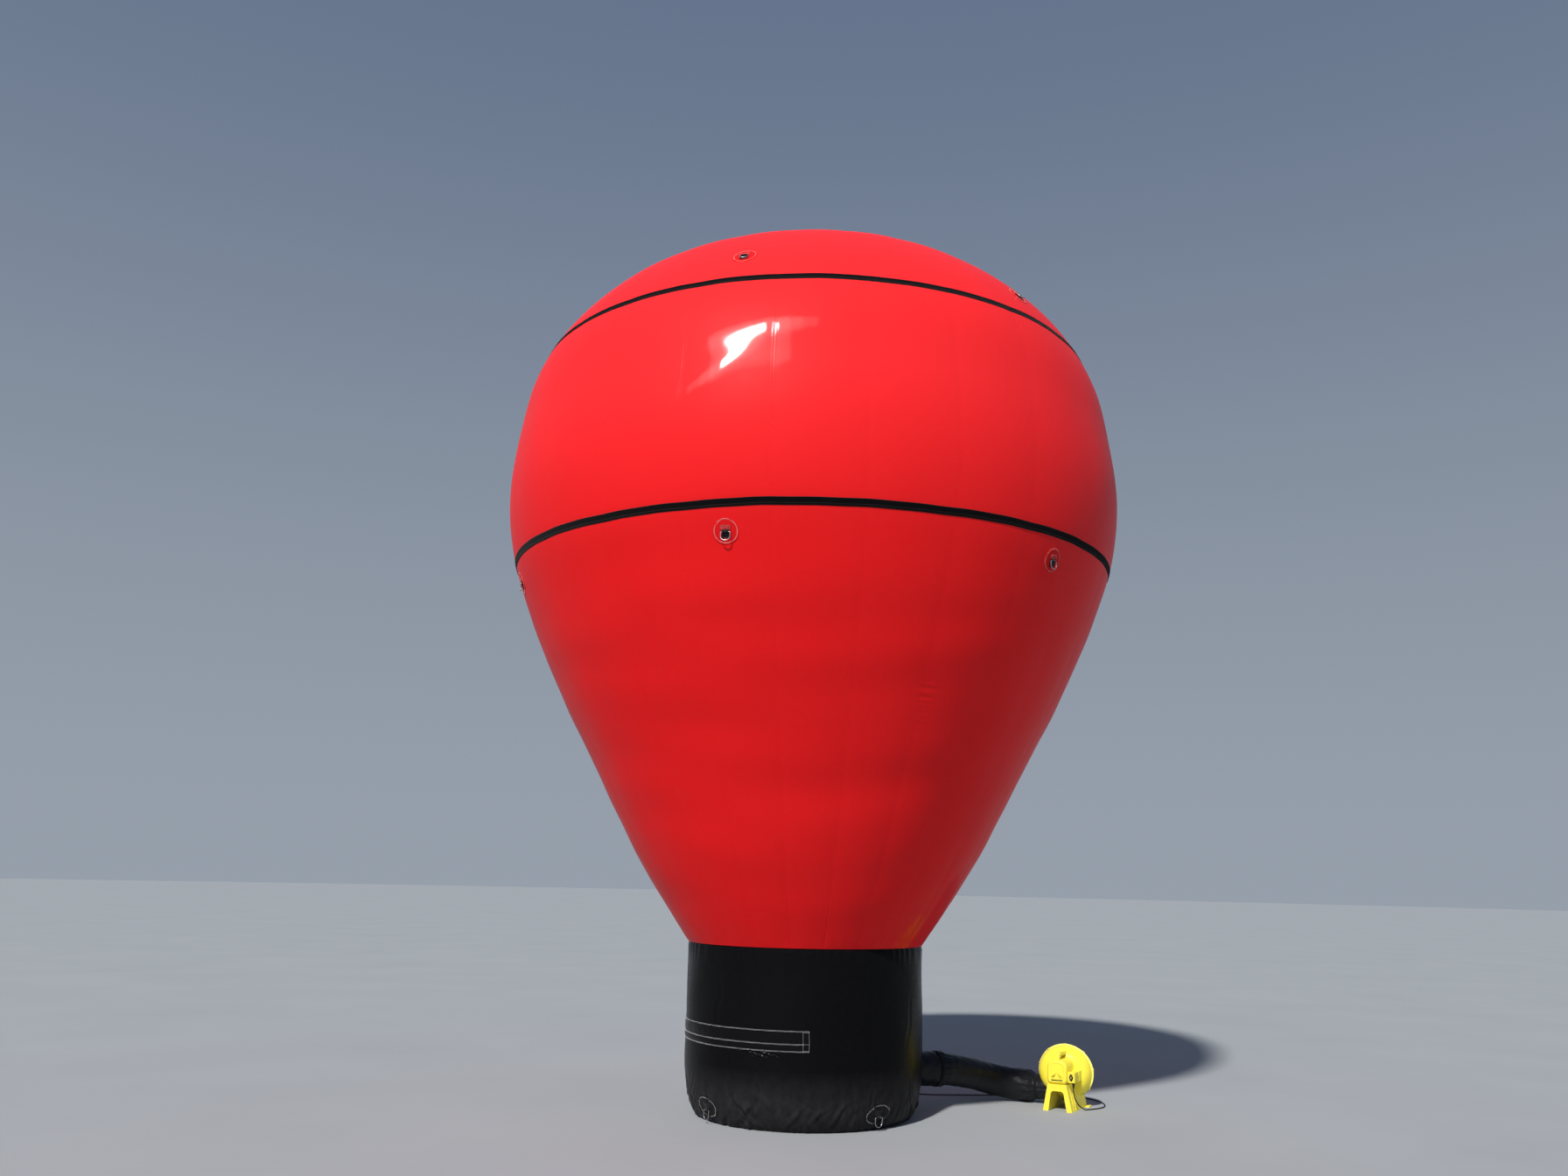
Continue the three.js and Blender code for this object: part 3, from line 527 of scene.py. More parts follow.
base_fine = np.array(BASE + [(z, BASE_R) for z in np.linspace(.42, SEAM_Z, 40)])
base_fine = np.stack([np.interp(np.linspace(0, 1, 1200), np.linspace(0, 1, len(base_fine)), base_fine[:, k]) for k in (0, 1)], -1)
kernel = np.hanning(61); kernel /= kernel.sum()
padded = np.concatenate([2 * base_fine[0] - base_fine[60:0:-1], base_fine, 2 * base_fine[-1] - base_fine[-2:-62:-1]])
base_fine = np.stack([np.convolve(padded[:, k], kernel, "same")[60:-60] for k in (0, 1)], -1)
base_walk = np.concatenate([[0], np.cumsum(np.linalg.norm(np.diff(base_fine, axis=0), axis=1))])
base_slope = np.gradient(base_fine, axis=0)
base_slope /= np.linalg.norm(base_slope, axis=1)[:, None]


def base_at(s):
    z, r = np.interp(s, base_walk, base_fine[:, 0]), np.interp(s, base_walk, base_fine[:, 1])
    nr, nz = np.interp(s, base_walk, base_slope[:, 0]), -np.interp(s, base_walk, base_slope[:, 1])
    n = np.hypot(nr, nz)
    return z, r, nr / n, nz / n


def base_along(z):
    return np.interp(z, base_fine[:, 0], base_walk)


S_LOW, S_UP = env_along(LOWER_BAND_Z), env_along(UPPER_BAND_Z)
GORE = 15.0
FIRST_SEAM = -97.0
rng = np.random.default_rng(7)

# short creases in the sheet: azimuth, height, turn of the ridges, half length along and across, count's spacing, depth
PUCKERS = [
    (-97.2, 4.520, 38, .050, .070, .040, .0019), (-97.0, 4.440, 50, .035, .050, .034, .0015),
    (-67.3, 4.310, 62, .045, .070, .036, .0016), (-66.4, 4.210, 70, .035, .045, .032, .0012),
    (-66.2, 2.860, 88, .060, .150, .044, .0016), (-65.6, 2.680, 86, .045, .080, .036, .0012),
    (-81.6, 3.560, 82, .040, .050, .034, .0008), (-82.0, 5.420, 15, .045, .050, .030, .0010),
    (-67.2, 5.430, 25, .045, .050, .030, .0012), (-52.0, 5.430, -20, .045, .045, .028, .0012),
    (-112.0, 5.440, -18, .040, .045, .028, .0010), (-97.2, 4.030, 85, .040, .045, .026, .0009),
    (-67.0, 4.030, 82, .045, .055, .028, .0012), (-52.3, 4.040, 88, .045, .050, .028, .0010),
    (-52.0, 3.100, 84, .045, .090, .038, .0013), (-127.0, 4.030, 80, .040, .045, .028, .0010),
    (-37.4, 4.350, 60, .045, .070, .036, .0015), (-127.0, 4.600, -50, .045, .060, .036, .0014),
    (-142.0, 3.000, 86, .050, .110, .040, .0014), (-22.0, 2.900, 86, .050, .120, .040, .0015),
    (8.0, 4.500, 42, .050, .070, .038, .0017), (38.2, 4.250, 65, .045, .060, .036, .0015), (52.6, 3.000, 88, .055, .120, .042, .0015),
    (83.2, 4.550, 40, .050, .070, .040, .0017), (98.0, 2.800, 85, .055, .130, .042, .0015), (113.0, 5.400, 20, .045, .050, .030, .0012),
    (128.0, 4.300, -55, .045, .060, .036, .0015), (158.0, 4.030, 84, .045, .050, .028, .0011), (172.6, 4.480, -42, .050, .070, .038, .0016),
    (-172.0, 2.900, 86, .050, .120, .040, .0014), (-157.2, 5.420, 18, .045, .050, .030, .0012),
]
waves = [(rng.uniform(1, 6), rng.uniform(2.0, 7.5), rng.uniform(0, 6.28), rng.uniform(.4, 1.0)) for _ in range(16)]


def wrap_deg(a):
    return (a + 180) % 360 - 180


def envelope_relief(az, s):
    """How far the sheet stands off the plain outline."""
    z, r, _, _ = env_at(s)
    turn = np.mod(az - FIRST_SEAM, GORE)
    signed = np.where(turn > GORE / 2, turn - GORE, turn) * RAD * r         # metres from the nearest seam
    x = turn / GORE * 2 - 1
    size = np.clip(r / 1.2, 0, 1)
    d = .0032 * (1 - x * x) ** .8 * size - .0014
    d = d - .0010 * np.exp(-(signed / .011) ** 2) * np.clip(r / .35, 0, 1)
    d = d + .0007 * smoothstep(-.0147, -.0137, signed) * smoothstep(.0147, .0137, signed)
    # slack bands round the cone, and slow waves everywhere
    cone = smoothstep(1.25, 1.6, z) * smoothstep(3.75, 3.3, z)
    d = d + cone * (.0015 * np.sin(2 * math.pi * s / .62 + 1.3 * np.sin(az * RAD * 2 + .6)) + .0009 * np.sin(2 * math.pi * s / .37 + 2.1 * np.sin(az * RAD * 3) + 1.0))
    slow = 0
    for k, (n, m, phase, amp) in enumerate(waves):
        slow = slow + amp * np.sin(round(n) * az * RAD + m * s + phase) * np.sin(round(n * 1.7 + 1) * az * RAD - m * .6 * s + phase * 2)
    d = d + .00060 * slow * np.clip(r / .6, 0, 1)
    # a long slack fold that lies across two gores
    ax, az0, bx, bz = -110.0, 4.741, -89.4, 5.262
    sa, sb = env_along(az0), env_along(bz)
    u, v = wrap_deg(az - ax) * RAD * 2.33, s - sa
    du, dv = (bx - ax) * RAD * 2.33, sb - sa
    length = math.hypot(du, dv)
    t = (u * du + v * dv) / length / length
    off = (u * dv - v * du) / length
    d = d + .0034 * np.exp(-(off / .105) ** 2) * smoothstep(-.35, .15, t) * smoothstep(.66, .16, t)
    # short creases
    for a0, z0, lean, half_u, half_v, spacing, amp in PUCKERS:
        s0 = env_along(z0)
        r0 = env_at(s0)[1]
        u, v = wrap_deg(az - a0) * RAD * r0, s - s0
        near = (np.abs(u) < .3) & (np.abs(v) < .5)
        if not near.any():
            continue
        c, q = math.cos(lean * RAD), math.sin(lean * RAD)
        across = u * c + v * q
        window = np.exp(-(u / half_u) ** 2 - (v / half_v) ** 2)
        d = d + np.where(near, amp * window * np.cos(2 * math.pi * across / spacing + 2.0 * np.sin(v * 31 + a0)), 0)
    # the tape's edges hold the sheet in
    for edge in (S_LOW, S_UP):
        d = d * (1 - .55 * np.exp(-((s - edge) / .035) ** 2)) - .0006 * np.exp(-((s - edge) / .03) ** 2)
    # sewn to the base
    d = d * smoothstep(-.01, .05, s) + .0012 * np.exp(-((s - .05) / .03) ** 2) * np.sin(az * RAD * 61 + 2 * np.sin(az * RAD * 5))
    return d


def env_point(az, s, lift=0.0):
    z, r, nr, nz = env_at(s)
    off = envelope_relief(az, s) + lift
    a = az * RAD
    return np.stack([(r + off * nr) * np.cos(a), (r + off * nr) * np.sin(a), z + off * nz], -1)


def gore_columns(s):
    """Azimuths of the mesh's columns at s: close together at the seams, wider between them."""
    r = env_at(s)[1]
    width = max(1e-4, GORE * RAD * r)
    edge = np.array([0, .004, .012, .0145, .017, .026, .040, .060, .090]) * min(1.0, width / .30)
    inner = np.linspace(edge[-1], width - edge[-1], 9)[1:-1]
    one = np.concatenate([edge, inner, (width - edge[:0:-1])]) / width * GORE
    return np.concatenate([FIRST_SEAM + GORE * k + one for k in range(24)])


def envelope_panel(name, s_values, node, pole=False):
    rows = []
    for s in s_values:
        az = gore_columns(s)
        rows.append(env_point(az, np.full_like(az, s)))
    outer = np.array(rows)
    inner_s = np.linspace(s_values[0], s_values[-1], 14)
    cols = outer.shape[1]
    inner = []
    for s in inner_s:
        az = gore_columns(s)
        z, r, nr, nz = env_at(s)
        a = az * RAD
        q = max(0.0, float(r - .010 * nr))
        inner.append(np.stack([q * np.cos(a), q * np.sin(a), np.full_like(a, z - .010 * nz)], -1))
    inner = np.array(inner)
    points = np.concatenate([outer.reshape(-1, 3), inner.reshape(-1, 3)])
    faces = [quads(len(outer), cols, wrap=True)]
    at = outer.shape[0] * cols
    faces.append(quads(len(inner), cols, wrap=True, flip=True, start=at))
    j = np.arange(cols)
    k = (j + 1) % cols
    faces.append(np.stack([at + j, at + k, k, j], -1))
    last, last_in = (len(outer) - 1) * cols, at + (len(inner) - 1) * cols
    if pole:
        points = np.concatenate([points, [[0, 0, TOP_Z - .0012], [0, 0, TOP_Z - .011]]])
        faces.append(fan(np.arange(last, last + cols), len(points) - 2))
        faces.append(fan(np.arange(last_in, last_in + cols), len(points) - 1, flip=True))
    else:
        faces.append(np.stack([last + j, last + k, last_in + k, last_in + j], -1))
    return build(name, [(points, faces, 0)], RED, replaces=(node,))


def spaced(*zones):
    """Row places along the outline: (from, to, step) for each zone."""
    out = []
    for a, b, step in zones:
        n = max(1, int(round((b - a) / step)))
        out += list(np.linspace(a, b, n, endpoint=False))
    return np.array(out + [zones[-1][1]])


e = env_along
envelope_panel("envelope_lower_panel", spaced((0, .06, .008), (.06, e(2.58), .032), (e(2.58), e(3.02), .0115), (e(3.02), e(3.85), .034), (e(3.85), S_LOW, .010)), "envelope_cone")
envelope_panel("envelope_upper_panel", spaced((S_LOW, S_LOW + .11, .010), (S_LOW + .11, e(4.17), .030), (e(4.17), e(4.63), .0095), (e(4.63), S_UP - .19, .030), (S_UP - .19, S_UP, .010)), "envelope_middle")
envelope_panel("envelope_top_panel", spaced((S_UP, S_UP + .06, .010), (S_UP + .06, POLE - .5, .032), (POLE - .5, POLE - .02, .03)), "envelope_crown", pole=True)


def band(name, s0, node):
    """Hook-and-loop tape for a banner: pile tape, a pale mid line where the hooks end, and bound edges."""
    az = np.linspace(-180, 180, 721)[:-1]
    wob = .0018 * np.sin(az * RAD * 7 + 1) + .0012 * np.sin(az * RAD * 19 + s0) + .0008 * np.sin(az * RAD * 43)
    cuts = np.array([-.0270, -.0268, -.0240, -.0236, -.0150, -.0126, -.0098, -.0074, .0236, .0240, .0268, .0270])
    lifts = np.array([.0002, .0024, .0026, .0038, .0040, .0037, .0037, .0040, .0038, .0026, .0024, .0002])
    grain = .0003 * np.sin(az * RAD * 173) + .0002 * np.sin(az * RAD * 311)
    rows = []
    for c, l in zip(cuts, lifts):
        rows.append(env_point(az, s0 + c + wob, l + (grain if abs(c) < .0238 else 0)))
    for c in (.0250, -.0250):
        rows.append(env_point(az, s0 + c + wob, -.004))
    rows = np.array(rows)
    n, m = rows.shape[:2]
    f = quads(n, m, wrap=True)
    last = quads(2, m, wrap=True)
    last = np.where(last >= m, last - m, last + (n - 1) * m)
    arc = az * RAD * env_at(s0)[1]
    uv = np.stack([np.broadcast_to(arc, (n, m)), np.broadcast_to(np.append(cuts, [.025, -.025])[:, None], (n, m))], -1)
    index = np.repeat(np.arange(n - 1), m)
    edge = np.isin(index, (0, 1, 9, 10))
    obj = build(name, [(rows.reshape(-1, 3), [f, last], 0, uv)], [TAPE, TAPE_EDGE, TAPE_LINE], replaces=(node,))
    which = np.concatenate([np.where(edge, 1, np.where(index == 5, 2, 0)), np.zeros(m)]).astype(np.int32)
    if len(which) == len(obj.data.polygons):
        obj.data.polygons.foreach_set("material_index", which)
    return obj


band("banner_tape_lower", S_LOW, "lower_band")
band("banner_tape_upper", S_UP, "upper_band")


# ------------------------------------------------------------------ the base
BASE_WELDS = (-91.0, 29.0, 149.0)


crease = np.random.default_rng(41)
BASE_CREASES = [(crease.uniform(-180, 180), crease.uniform(.01, .24) * crease.uniform(.5, 1.0), crease.uniform(-58, 58),
                 crease.uniform(.009, .021), crease.uniform(.035, .110), crease.uniform(.0024, .0070) * crease.choice([-1, 1])) for _ in range(210)]
BASE_CREASES += [(-101.4 - 1.15 * k, .509 - .006 * (k % 3), 88 + 15 * (k % 3 - 1), .0075, .013, .0058 * (-1) ** k) for k in range(13)]
BASE_CREASES += [(-121.0, .512, 96, .0075, .010, .0060), (-123.4, .507, 80, .0070, .009, -.0045)]
BASE_CREASES += [(a_, z_, l_, .018, .16, d_) for a_, z_, l_, d_ in (
    (-60, .86, 6, .0022), (-134, .80, -8, -.0024), (-119, 1.02, 5, .0018), (-31, .70, -10, -.0022), (42, .84, 9, .0022),
    (98, .92, -6, -.0020), (153, .78, 7, .0022), (-170, .90, -9, .0020), (8, .98, 5, -.0018))]


def base_relief(az, s):
    z = np.interp(s, base_walk, base_fine[:, 0])
    a = az * RAD
    low = smoothstep(.30, .02, z)
    heavy = .6 + .4 * np.sin(a * 3 + 2.0) + .5 * np.exp(-(wrap_deg(az + 22) / 26) ** 2)
    d = -.0011 + .0012 * low * np.sin(a * 46 + 2.6 * np.sin(a * 7) + 9 * z) * (.5 + .5 * np.sin(a * 13 + 1)) * heavy
    # slack panels
    d = d + .0022 * np.sin(a * 5 + 6 * z) * np.sin(z * 7.5 + a * 2) + .0012 * np.sin(a * 11 - 8 * z + 1)
    # gathers under the seam with the cone
    top = smoothstep(SEAM_Z - .16, SEAM_Z - .01, z)
    d = d + .0016 * top * np.sin(a * 58 + 3 * np.sin(a * 9))
    d = d - .0040 * smoothstep(SEAM_Z - .035, SEAM_Z - .004, z)
    for weld in BASE_WELDS:
        signed = wrap_deg(az - weld) * RAD * BASE_R
        d = d - .0018 * np.exp(-(signed / .014) ** 2) + .0008 * smoothstep(-.0165, -.0150, signed) * smoothstep(.0165, .0150, signed)
    # slumped creases round the foot, and a few higher up
    for a0, z0, lean, width, half, depth in BASE_CREASES:
        u, v = wrap_deg(az - a0) * RAD * BASE_R, z - z0
        near = (np.abs(u) < .30) & (np.abs(v) < .40)
        if not near.any():
            continue
        c, q = math.cos(lean * RAD), math.sin(lean * RAD)
        across, down = u * c + v * q, v * c - u * q
        across = across + .22 * down * np.sin(down * 14 + a0)
        ridge = np.exp(-(across / width) ** 2) - .45 * np.exp(-((np.abs(across) - 1.9 * width) / width) ** 2)
        d = d + np.where(near, depth * (.55 + .45 * heavy if z0 < .3 else 1.0) * ridge * np.exp(-(down / half) ** 2), 0)
    return d * smoothstep(-.002, .02, s)


def base_point(az, s, lift=0.0):
    z, r, nr, nz = base_at(s)
    off = base_relief(az, s) + lift
    a = az * RAD
    return np.stack([(r + off * nr) * np.cos(a), (r + off * nr) * np.sin(a), np.maximum(z + off * nz, .0004)], -1)


def base_skin():
    az = np.concatenate([np.arange(-180, -168, .60), np.arange(-168, -124, .50), np.arange(-124, -99, .25), np.arange(-99, -92, .46), np.arange(-92, -8, .46), np.arange(-8, 179.8, .72)])
    s_values = spaced((0, base_along(.36), .0090), (base_along(.36), base_along(.46), .014), (base_along(.46), base_along(.53), .0042), (base_along(.53), base_along(1.04), .028), (base_along(1.04), base_walk[-1], .009))
    outer = np.array([base_point(az, np.full_like(az, s)) for s in s_values])
    cols = len(az)
    a = az * RAD
    inner = np.array([np.stack([(base_at(s)[1] - .010) * np.cos(a), (base_at(s)[1] - .010) * np.sin(a), np.full_like(a, max(.010, base_at(s)[0]))], -1)
                      for s in np.linspace(0, base_walk[-1], 12)])
    floor_rows = np.array([np.stack([r * np.cos(a), r * np.sin(a), np.full_like(a, .0004)], -1) for r in (.70, .45, .2)])
    rows = np.concatenate([floor_rows[::-1], outer])
    points = np.concatenate([rows.reshape(-1, 3), inner.reshape(-1, 3), [[0, 0, .0004], [0, 0, .010]]])
    at = len(rows) * cols
    j = np.arange(cols); k = (j + 1) % cols
    faces = [quads(len(rows), cols, wrap=True), quads(len(inner), cols, wrap=True, flip=True, start=at)]
    last, last_in = (len(rows) - 1) * cols, at + (len(inner) - 1) * cols
    faces.append(np.stack([last + j, last + k, last_in + k, last_in + j], -1))
    faces.append(fan(j, len(points) - 2, flip=True))
    faces.append(fan(at + j, len(points) - 1))
    return build("base_skin", [(points, faces, 0)], BLACK, replaces=("base_wall",))


base_skin()

# ------------------------------------------------------------------ tether patches, webbing loops, D-rings
def ring_path(depth):
    """The D-ring's centreline, x to its right, y up from the bar."""
    hw, k = .028, .003
    bow = [(-(hw + k), -.004), (-(hw + k), -depth * .22), (-(hw + k), -depth * .45 - k)]
    for i in range(1, 16):
        a = math.pi + math.pi * i / 16
        bow.append(((hw + k) * math.cos(a), -depth * .45 - k + (depth * .55 + k - k) * math.sin(a)))
    bow += [((hw + k), -depth * .45 - k), ((hw + k), -depth * .22), ((hw + k), -.004)]
    corner = [(hw + k - .001, -.0015), (hw + k - .0035, 0)]
    bar = [(x, 0) for x in np.linspace(.022, -.022, 9)]
    back = [(-(hw + k) + .0035, 0), (-(hw + k) + .001, -.0015)]
    pts = np.array(bow + corner + bar + back)
    pts[:, 1] = np.maximum(pts[:, 1], -depth - 2 * k + k - .0)
    return pts


def tether(row, number, kind, az0, z0, radius, depth, swing, node_patch, node_ring, oval=None):
    at, along, point = (base_at, base_along, base_point) if kind == "base" else (env_at, env_along, env_point)
    s0 = float(along(z0))
    z, r, nr, nz = (float(v) for v in at(s0))
    lean, a = math.atan2(nz, nr), az0 * RAD
    relief = float((base_relief if kind == "base" else envelope_relief)(np.array([az0]), np.array([s0]))[0])
    out = np.array([math.cos(a) * math.cos(lean), math.sin(a) * math.cos(lean), math.sin(lean)])
    side = np.array([-math.sin(a), math.cos(a), 0])
    up = np.cross(out, side)
    rise = .0035 if kind == "base" else .0015
    origin = np.array([r * math.cos(a), r * math.sin(a), z]) + out * (rise + relief)
    dark = kind == "base"
    jig = np.random.default_rng(number * 31 + int(z0 * 10))
    phase = jig.uniform(0, 6.28, 4)

    def on(u, v, h):
        u, v, h = (np.asarray(q, float) for q in np.broadcast_arrays(u, v, h))
        s = s0 + v
        rr = at(s)[1]
        return point(az0 + u / rr / RAD, s, h + (rise - .0015))

    name = f"{row}_tether_{number}"
    # the round patch: welded on, its edge rounded and a little uneven
    n = 72
    t = np.arange(n) * 2 * math.pi / n
    rim = radius * (1 + .010 * np.sin(3 * t + phase[0]) + .006 * np.sin(5 * t + phase[1]))
    swell = .0006 * np.sin(4 * t + phase[2]) + .0004 * np.sin(9 * t + phase[3])
    half_u, half_v, turn, rise_v = oval or (1.0, 1.0, 0.0, 0.0)

    def shaped(u, v):
        """The patch's circle drawn out to its own outline."""
        u, v = u * half_u, v * half_v
        return u * math.cos(turn) - v * math.sin(turn), u * math.sin(turn) + v * math.cos(turn) + rise_v

    rows, uv = [], []
    for q, h in ((0.10, .0030), (.3, .0031), (.52, .0030), (.70, .0028), (.80, .0026), (.845, .0023), (.875, .0020), (.905, .0024), (.95, .0026), (.985, .0025), (.997, .0019), (1.0, .0006), (1.0, -.0040), (.90, -.0060)):
        u, v = shaped(rim * q * np.cos(t), rim * q * np.sin(t))
        rows.append(on(u, v, h + (swell * smoothstep(.5, 1, q) if h > 0 else 0)))
        uv.append(np.stack([u, v], -1))
    rows, uv = np.array(rows), np.array(uv).reshape(-1, 2)
    points = np.concatenate([rows.reshape(-1, 3), on([0], [rise_v], [.0030]), on([0], [rise_v], [-.0060])])
    uv = np.concatenate([uv, [[0, 0], [0, 0]]])
    m = len(rows)
    faces = [quads(m, n, wrap=True, flip=True), fan(np.arange(n), m * n), fan(np.arange((m - 1) * n, m * n), m * n + 1, flip=True)]
    disc = build(name + "_patch", [(points, faces, 0, uv)], BLACK_PATCH if dark else RED_PATCH, replaces=(node_patch,))
    # stitches
    rowsets = []

    def run(us, vs, h, mat=0, **kw):
        us, vs = np.asarray(us, float), np.asarray(vs, float)
        p = on(us, vs, np.full(us.shape, h))
        q = on(us, vs, np.full(us.shape, h + .01))
        nn = (q - p) / np.linalg.norm(q - p, axis=1)[:, None]
        rowsets.append((*stitches(p, nn, **kw), mat))

    tt = np.linspace(0, 2 * math.pi, 181)
    rim2 = np.interp(tt, np.append(t, 2 * math.pi), np.append(rim, rim[0]))
    for q, hh in ((.905, .0024), (.860, .0023)):
        run(*shaped(rim2 * q * np.cos(tt), rim2 * q * np.sin(tt)), hh, pitch=.0052, length=.0047, width=.0026 if dark else .0034, height=.0012)
    # the tab that holds the loop's ends, with two rows of stitching
    tab_w, tab_lo, tab_hi = .031, .006, .040
    us = np.linspace(-tab_w, tab_w, 21)
    section = [(tab_hi, .0028), (tab_hi, .0052), (tab_hi - .0012, .0062), (tab_hi - .006, .0062), ((tab_hi + tab_lo) / 2, .0068), (tab_lo + .006, .0066), (tab_lo + .0012, .0064), (tab_lo, .0054), (tab_lo, .0028)]
    rings = []
    for u in us:
        pinch = .0006 * math.cos(u / tab_w * 9)
        rings.append(on(np.full(len(section), u), [v for v, _ in section], [h + (pinch if h > .003 else 0) for _, h in section]))
    rings = np.array(rings)
    p, f = closed_tube(rings)
    tab_uv = np.concatenate([np.stack([np.repeat(us, len(section)), np.tile([v for v, _ in section], len(us))], -1), [[us[0], 0], [us[-1], 0]]])
    build(name + "_tab", [(p, f, 0, tab_uv)], WEB_BLACK if dark else WEB_RED)
    for v in (tab_hi - .007, tab_hi - .016, tab_lo + .007):
        run(np.linspace(-tab_w + .004, tab_w - .004, 21), np.full(21, v), .0064, mat=1, pitch=.0050, length=.0045, width=.0026, height=.0013)
    for u in (-tab_w + .004, tab_w - .004):
        run(np.full(9, u), np.linspace(tab_lo + .007, tab_hi - .007, 9), .0064, mat=1, pitch=.0050, length=.0045, width=.0024, height=.0013)
    # the webbing: from under the tab, round the ring's bar, and down behind the ring as a tongue
    hw, bar_v, bar_h, wrap_r, thick = .0245, -.006, .0105, .0042, .0015
    line = [(.036, .0042), (.020, .0048), (.008, .0062), (.001, .0105)]
    for deg in np.linspace(50, 250, 15):
        line.append((bar_v + wrap_r * math.cos(deg * RAD), bar_h + wrap_r * math.sin(deg * RAD)))
    line += [(-.0085, .0046), (-.0130, .0040), (-.0250, .0042), (-.0400, .0046), (-.0500, .0044)]
    line = catmull(line, 4)
    d = np.gradient(line, axis=0)
    d /= np.linalg.norm(d, axis=1)[:, None]
    normal = np.stack([-d[:, 1], d[:, 0]], -1)
    upper, lower = line + normal * thick / 2, line - normal * thick / 2
    section = np.concatenate([upper, lower[::-1]])
    walked = np.concatenate([[0], np.cumsum(np.linalg.norm(np.diff(line, axis=0), axis=1))])
    sec_v = np.concatenate([walked, walked[::-1]])
    us = np.array([-hw, -hw + .0006, -.018, -.009, 0, .009, .018, hw - .0006, hw])
    rings, uvs = [], []
    for u in us:
        bow = .0008 * math.cos(u / hw * 1.4 + phase[0])
        droop = smoothstep(-.012, -.05, section[:, 0]) * (bow * 2 + .0012 * math.sin(u * 90 + phase[1]))
        rings.append(on(np.full(len(section), u), section[:, 0], section[:, 1] + droop))
        uvs.append(np.stack([np.full(len(section), u), sec_v], -1))
    p, f = closed_tube(np.array(rings))
    uv = np.concatenate([np.array(uvs).reshape(-1, 2), [[us[0], .02], [us[-1], .02]]])
    web = build(name + "_webbing", [(p, f, 0, uv)], WEB_BLACK)
    for v in (-.0440, -.0205):
        run(np.linspace(-hw + .004, hw - .004, 9), np.full(9, v), .0052, mat=1, pitch=.0052, length=.0040, width=.0012, height=.0010)
    build(name + "_stitching", [(p, f, m) for p, f, m in rowsets], [THREAD_GREY, THREAD_DARK] if dark else [THREAD_PALE, THREAD_PALE], smooth=False)
    # the ring
    tilt = lean if swing is None else swing * RAD
    flat = ring_path(depth)
    local = np.stack([flat[:, 0], flat[:, 1] * math.cos(tilt), flat[:, 1] * math.sin(tilt)], -1) + (0, -.006, .0105)
    path = origin + local[:, :1] * side + local[:, 1:2] * up + local[:, 2:] * out
    p, f = tube(path, .003, 12, closed=True)
    build(name + "_d_ring", [(p, f, 0)], STEEL, replaces=(node_ring,), sharp=60)


BLACK_PATCH = pvc("black_pvc_patch", (.0040, .0040, .0046), (.0027, .0027, .0032), rough=.28, coat=.02, dust_and_sheen=(.040, .036, .036), dust_and_sheen_top=.26, ior=1.17)
for i in range(6):
    tether("top", i + 1, "env", -104.5 + 60 * i, 5.787, .087, .050, -8, f"top_patch_{i + 1}", f"top_d_ring_{i + 1}")
    tether("middle", i + 1, "env", -104.5 + 60 * i, 3.788, .087, .050, None, f"middle_patch_{i + 1}", f"middle_d_ring_{i + 1}")
for i in range(4):
    tether("base", i + 1, "base", -142.5 + 90 * i, .100, .082, .058, None, f"base_patch_{i + 1}", f"base_d_ring_{i + 1}",
           oval=(1.34, .84, (-.20, .13, -.12, .16)[i], .012))


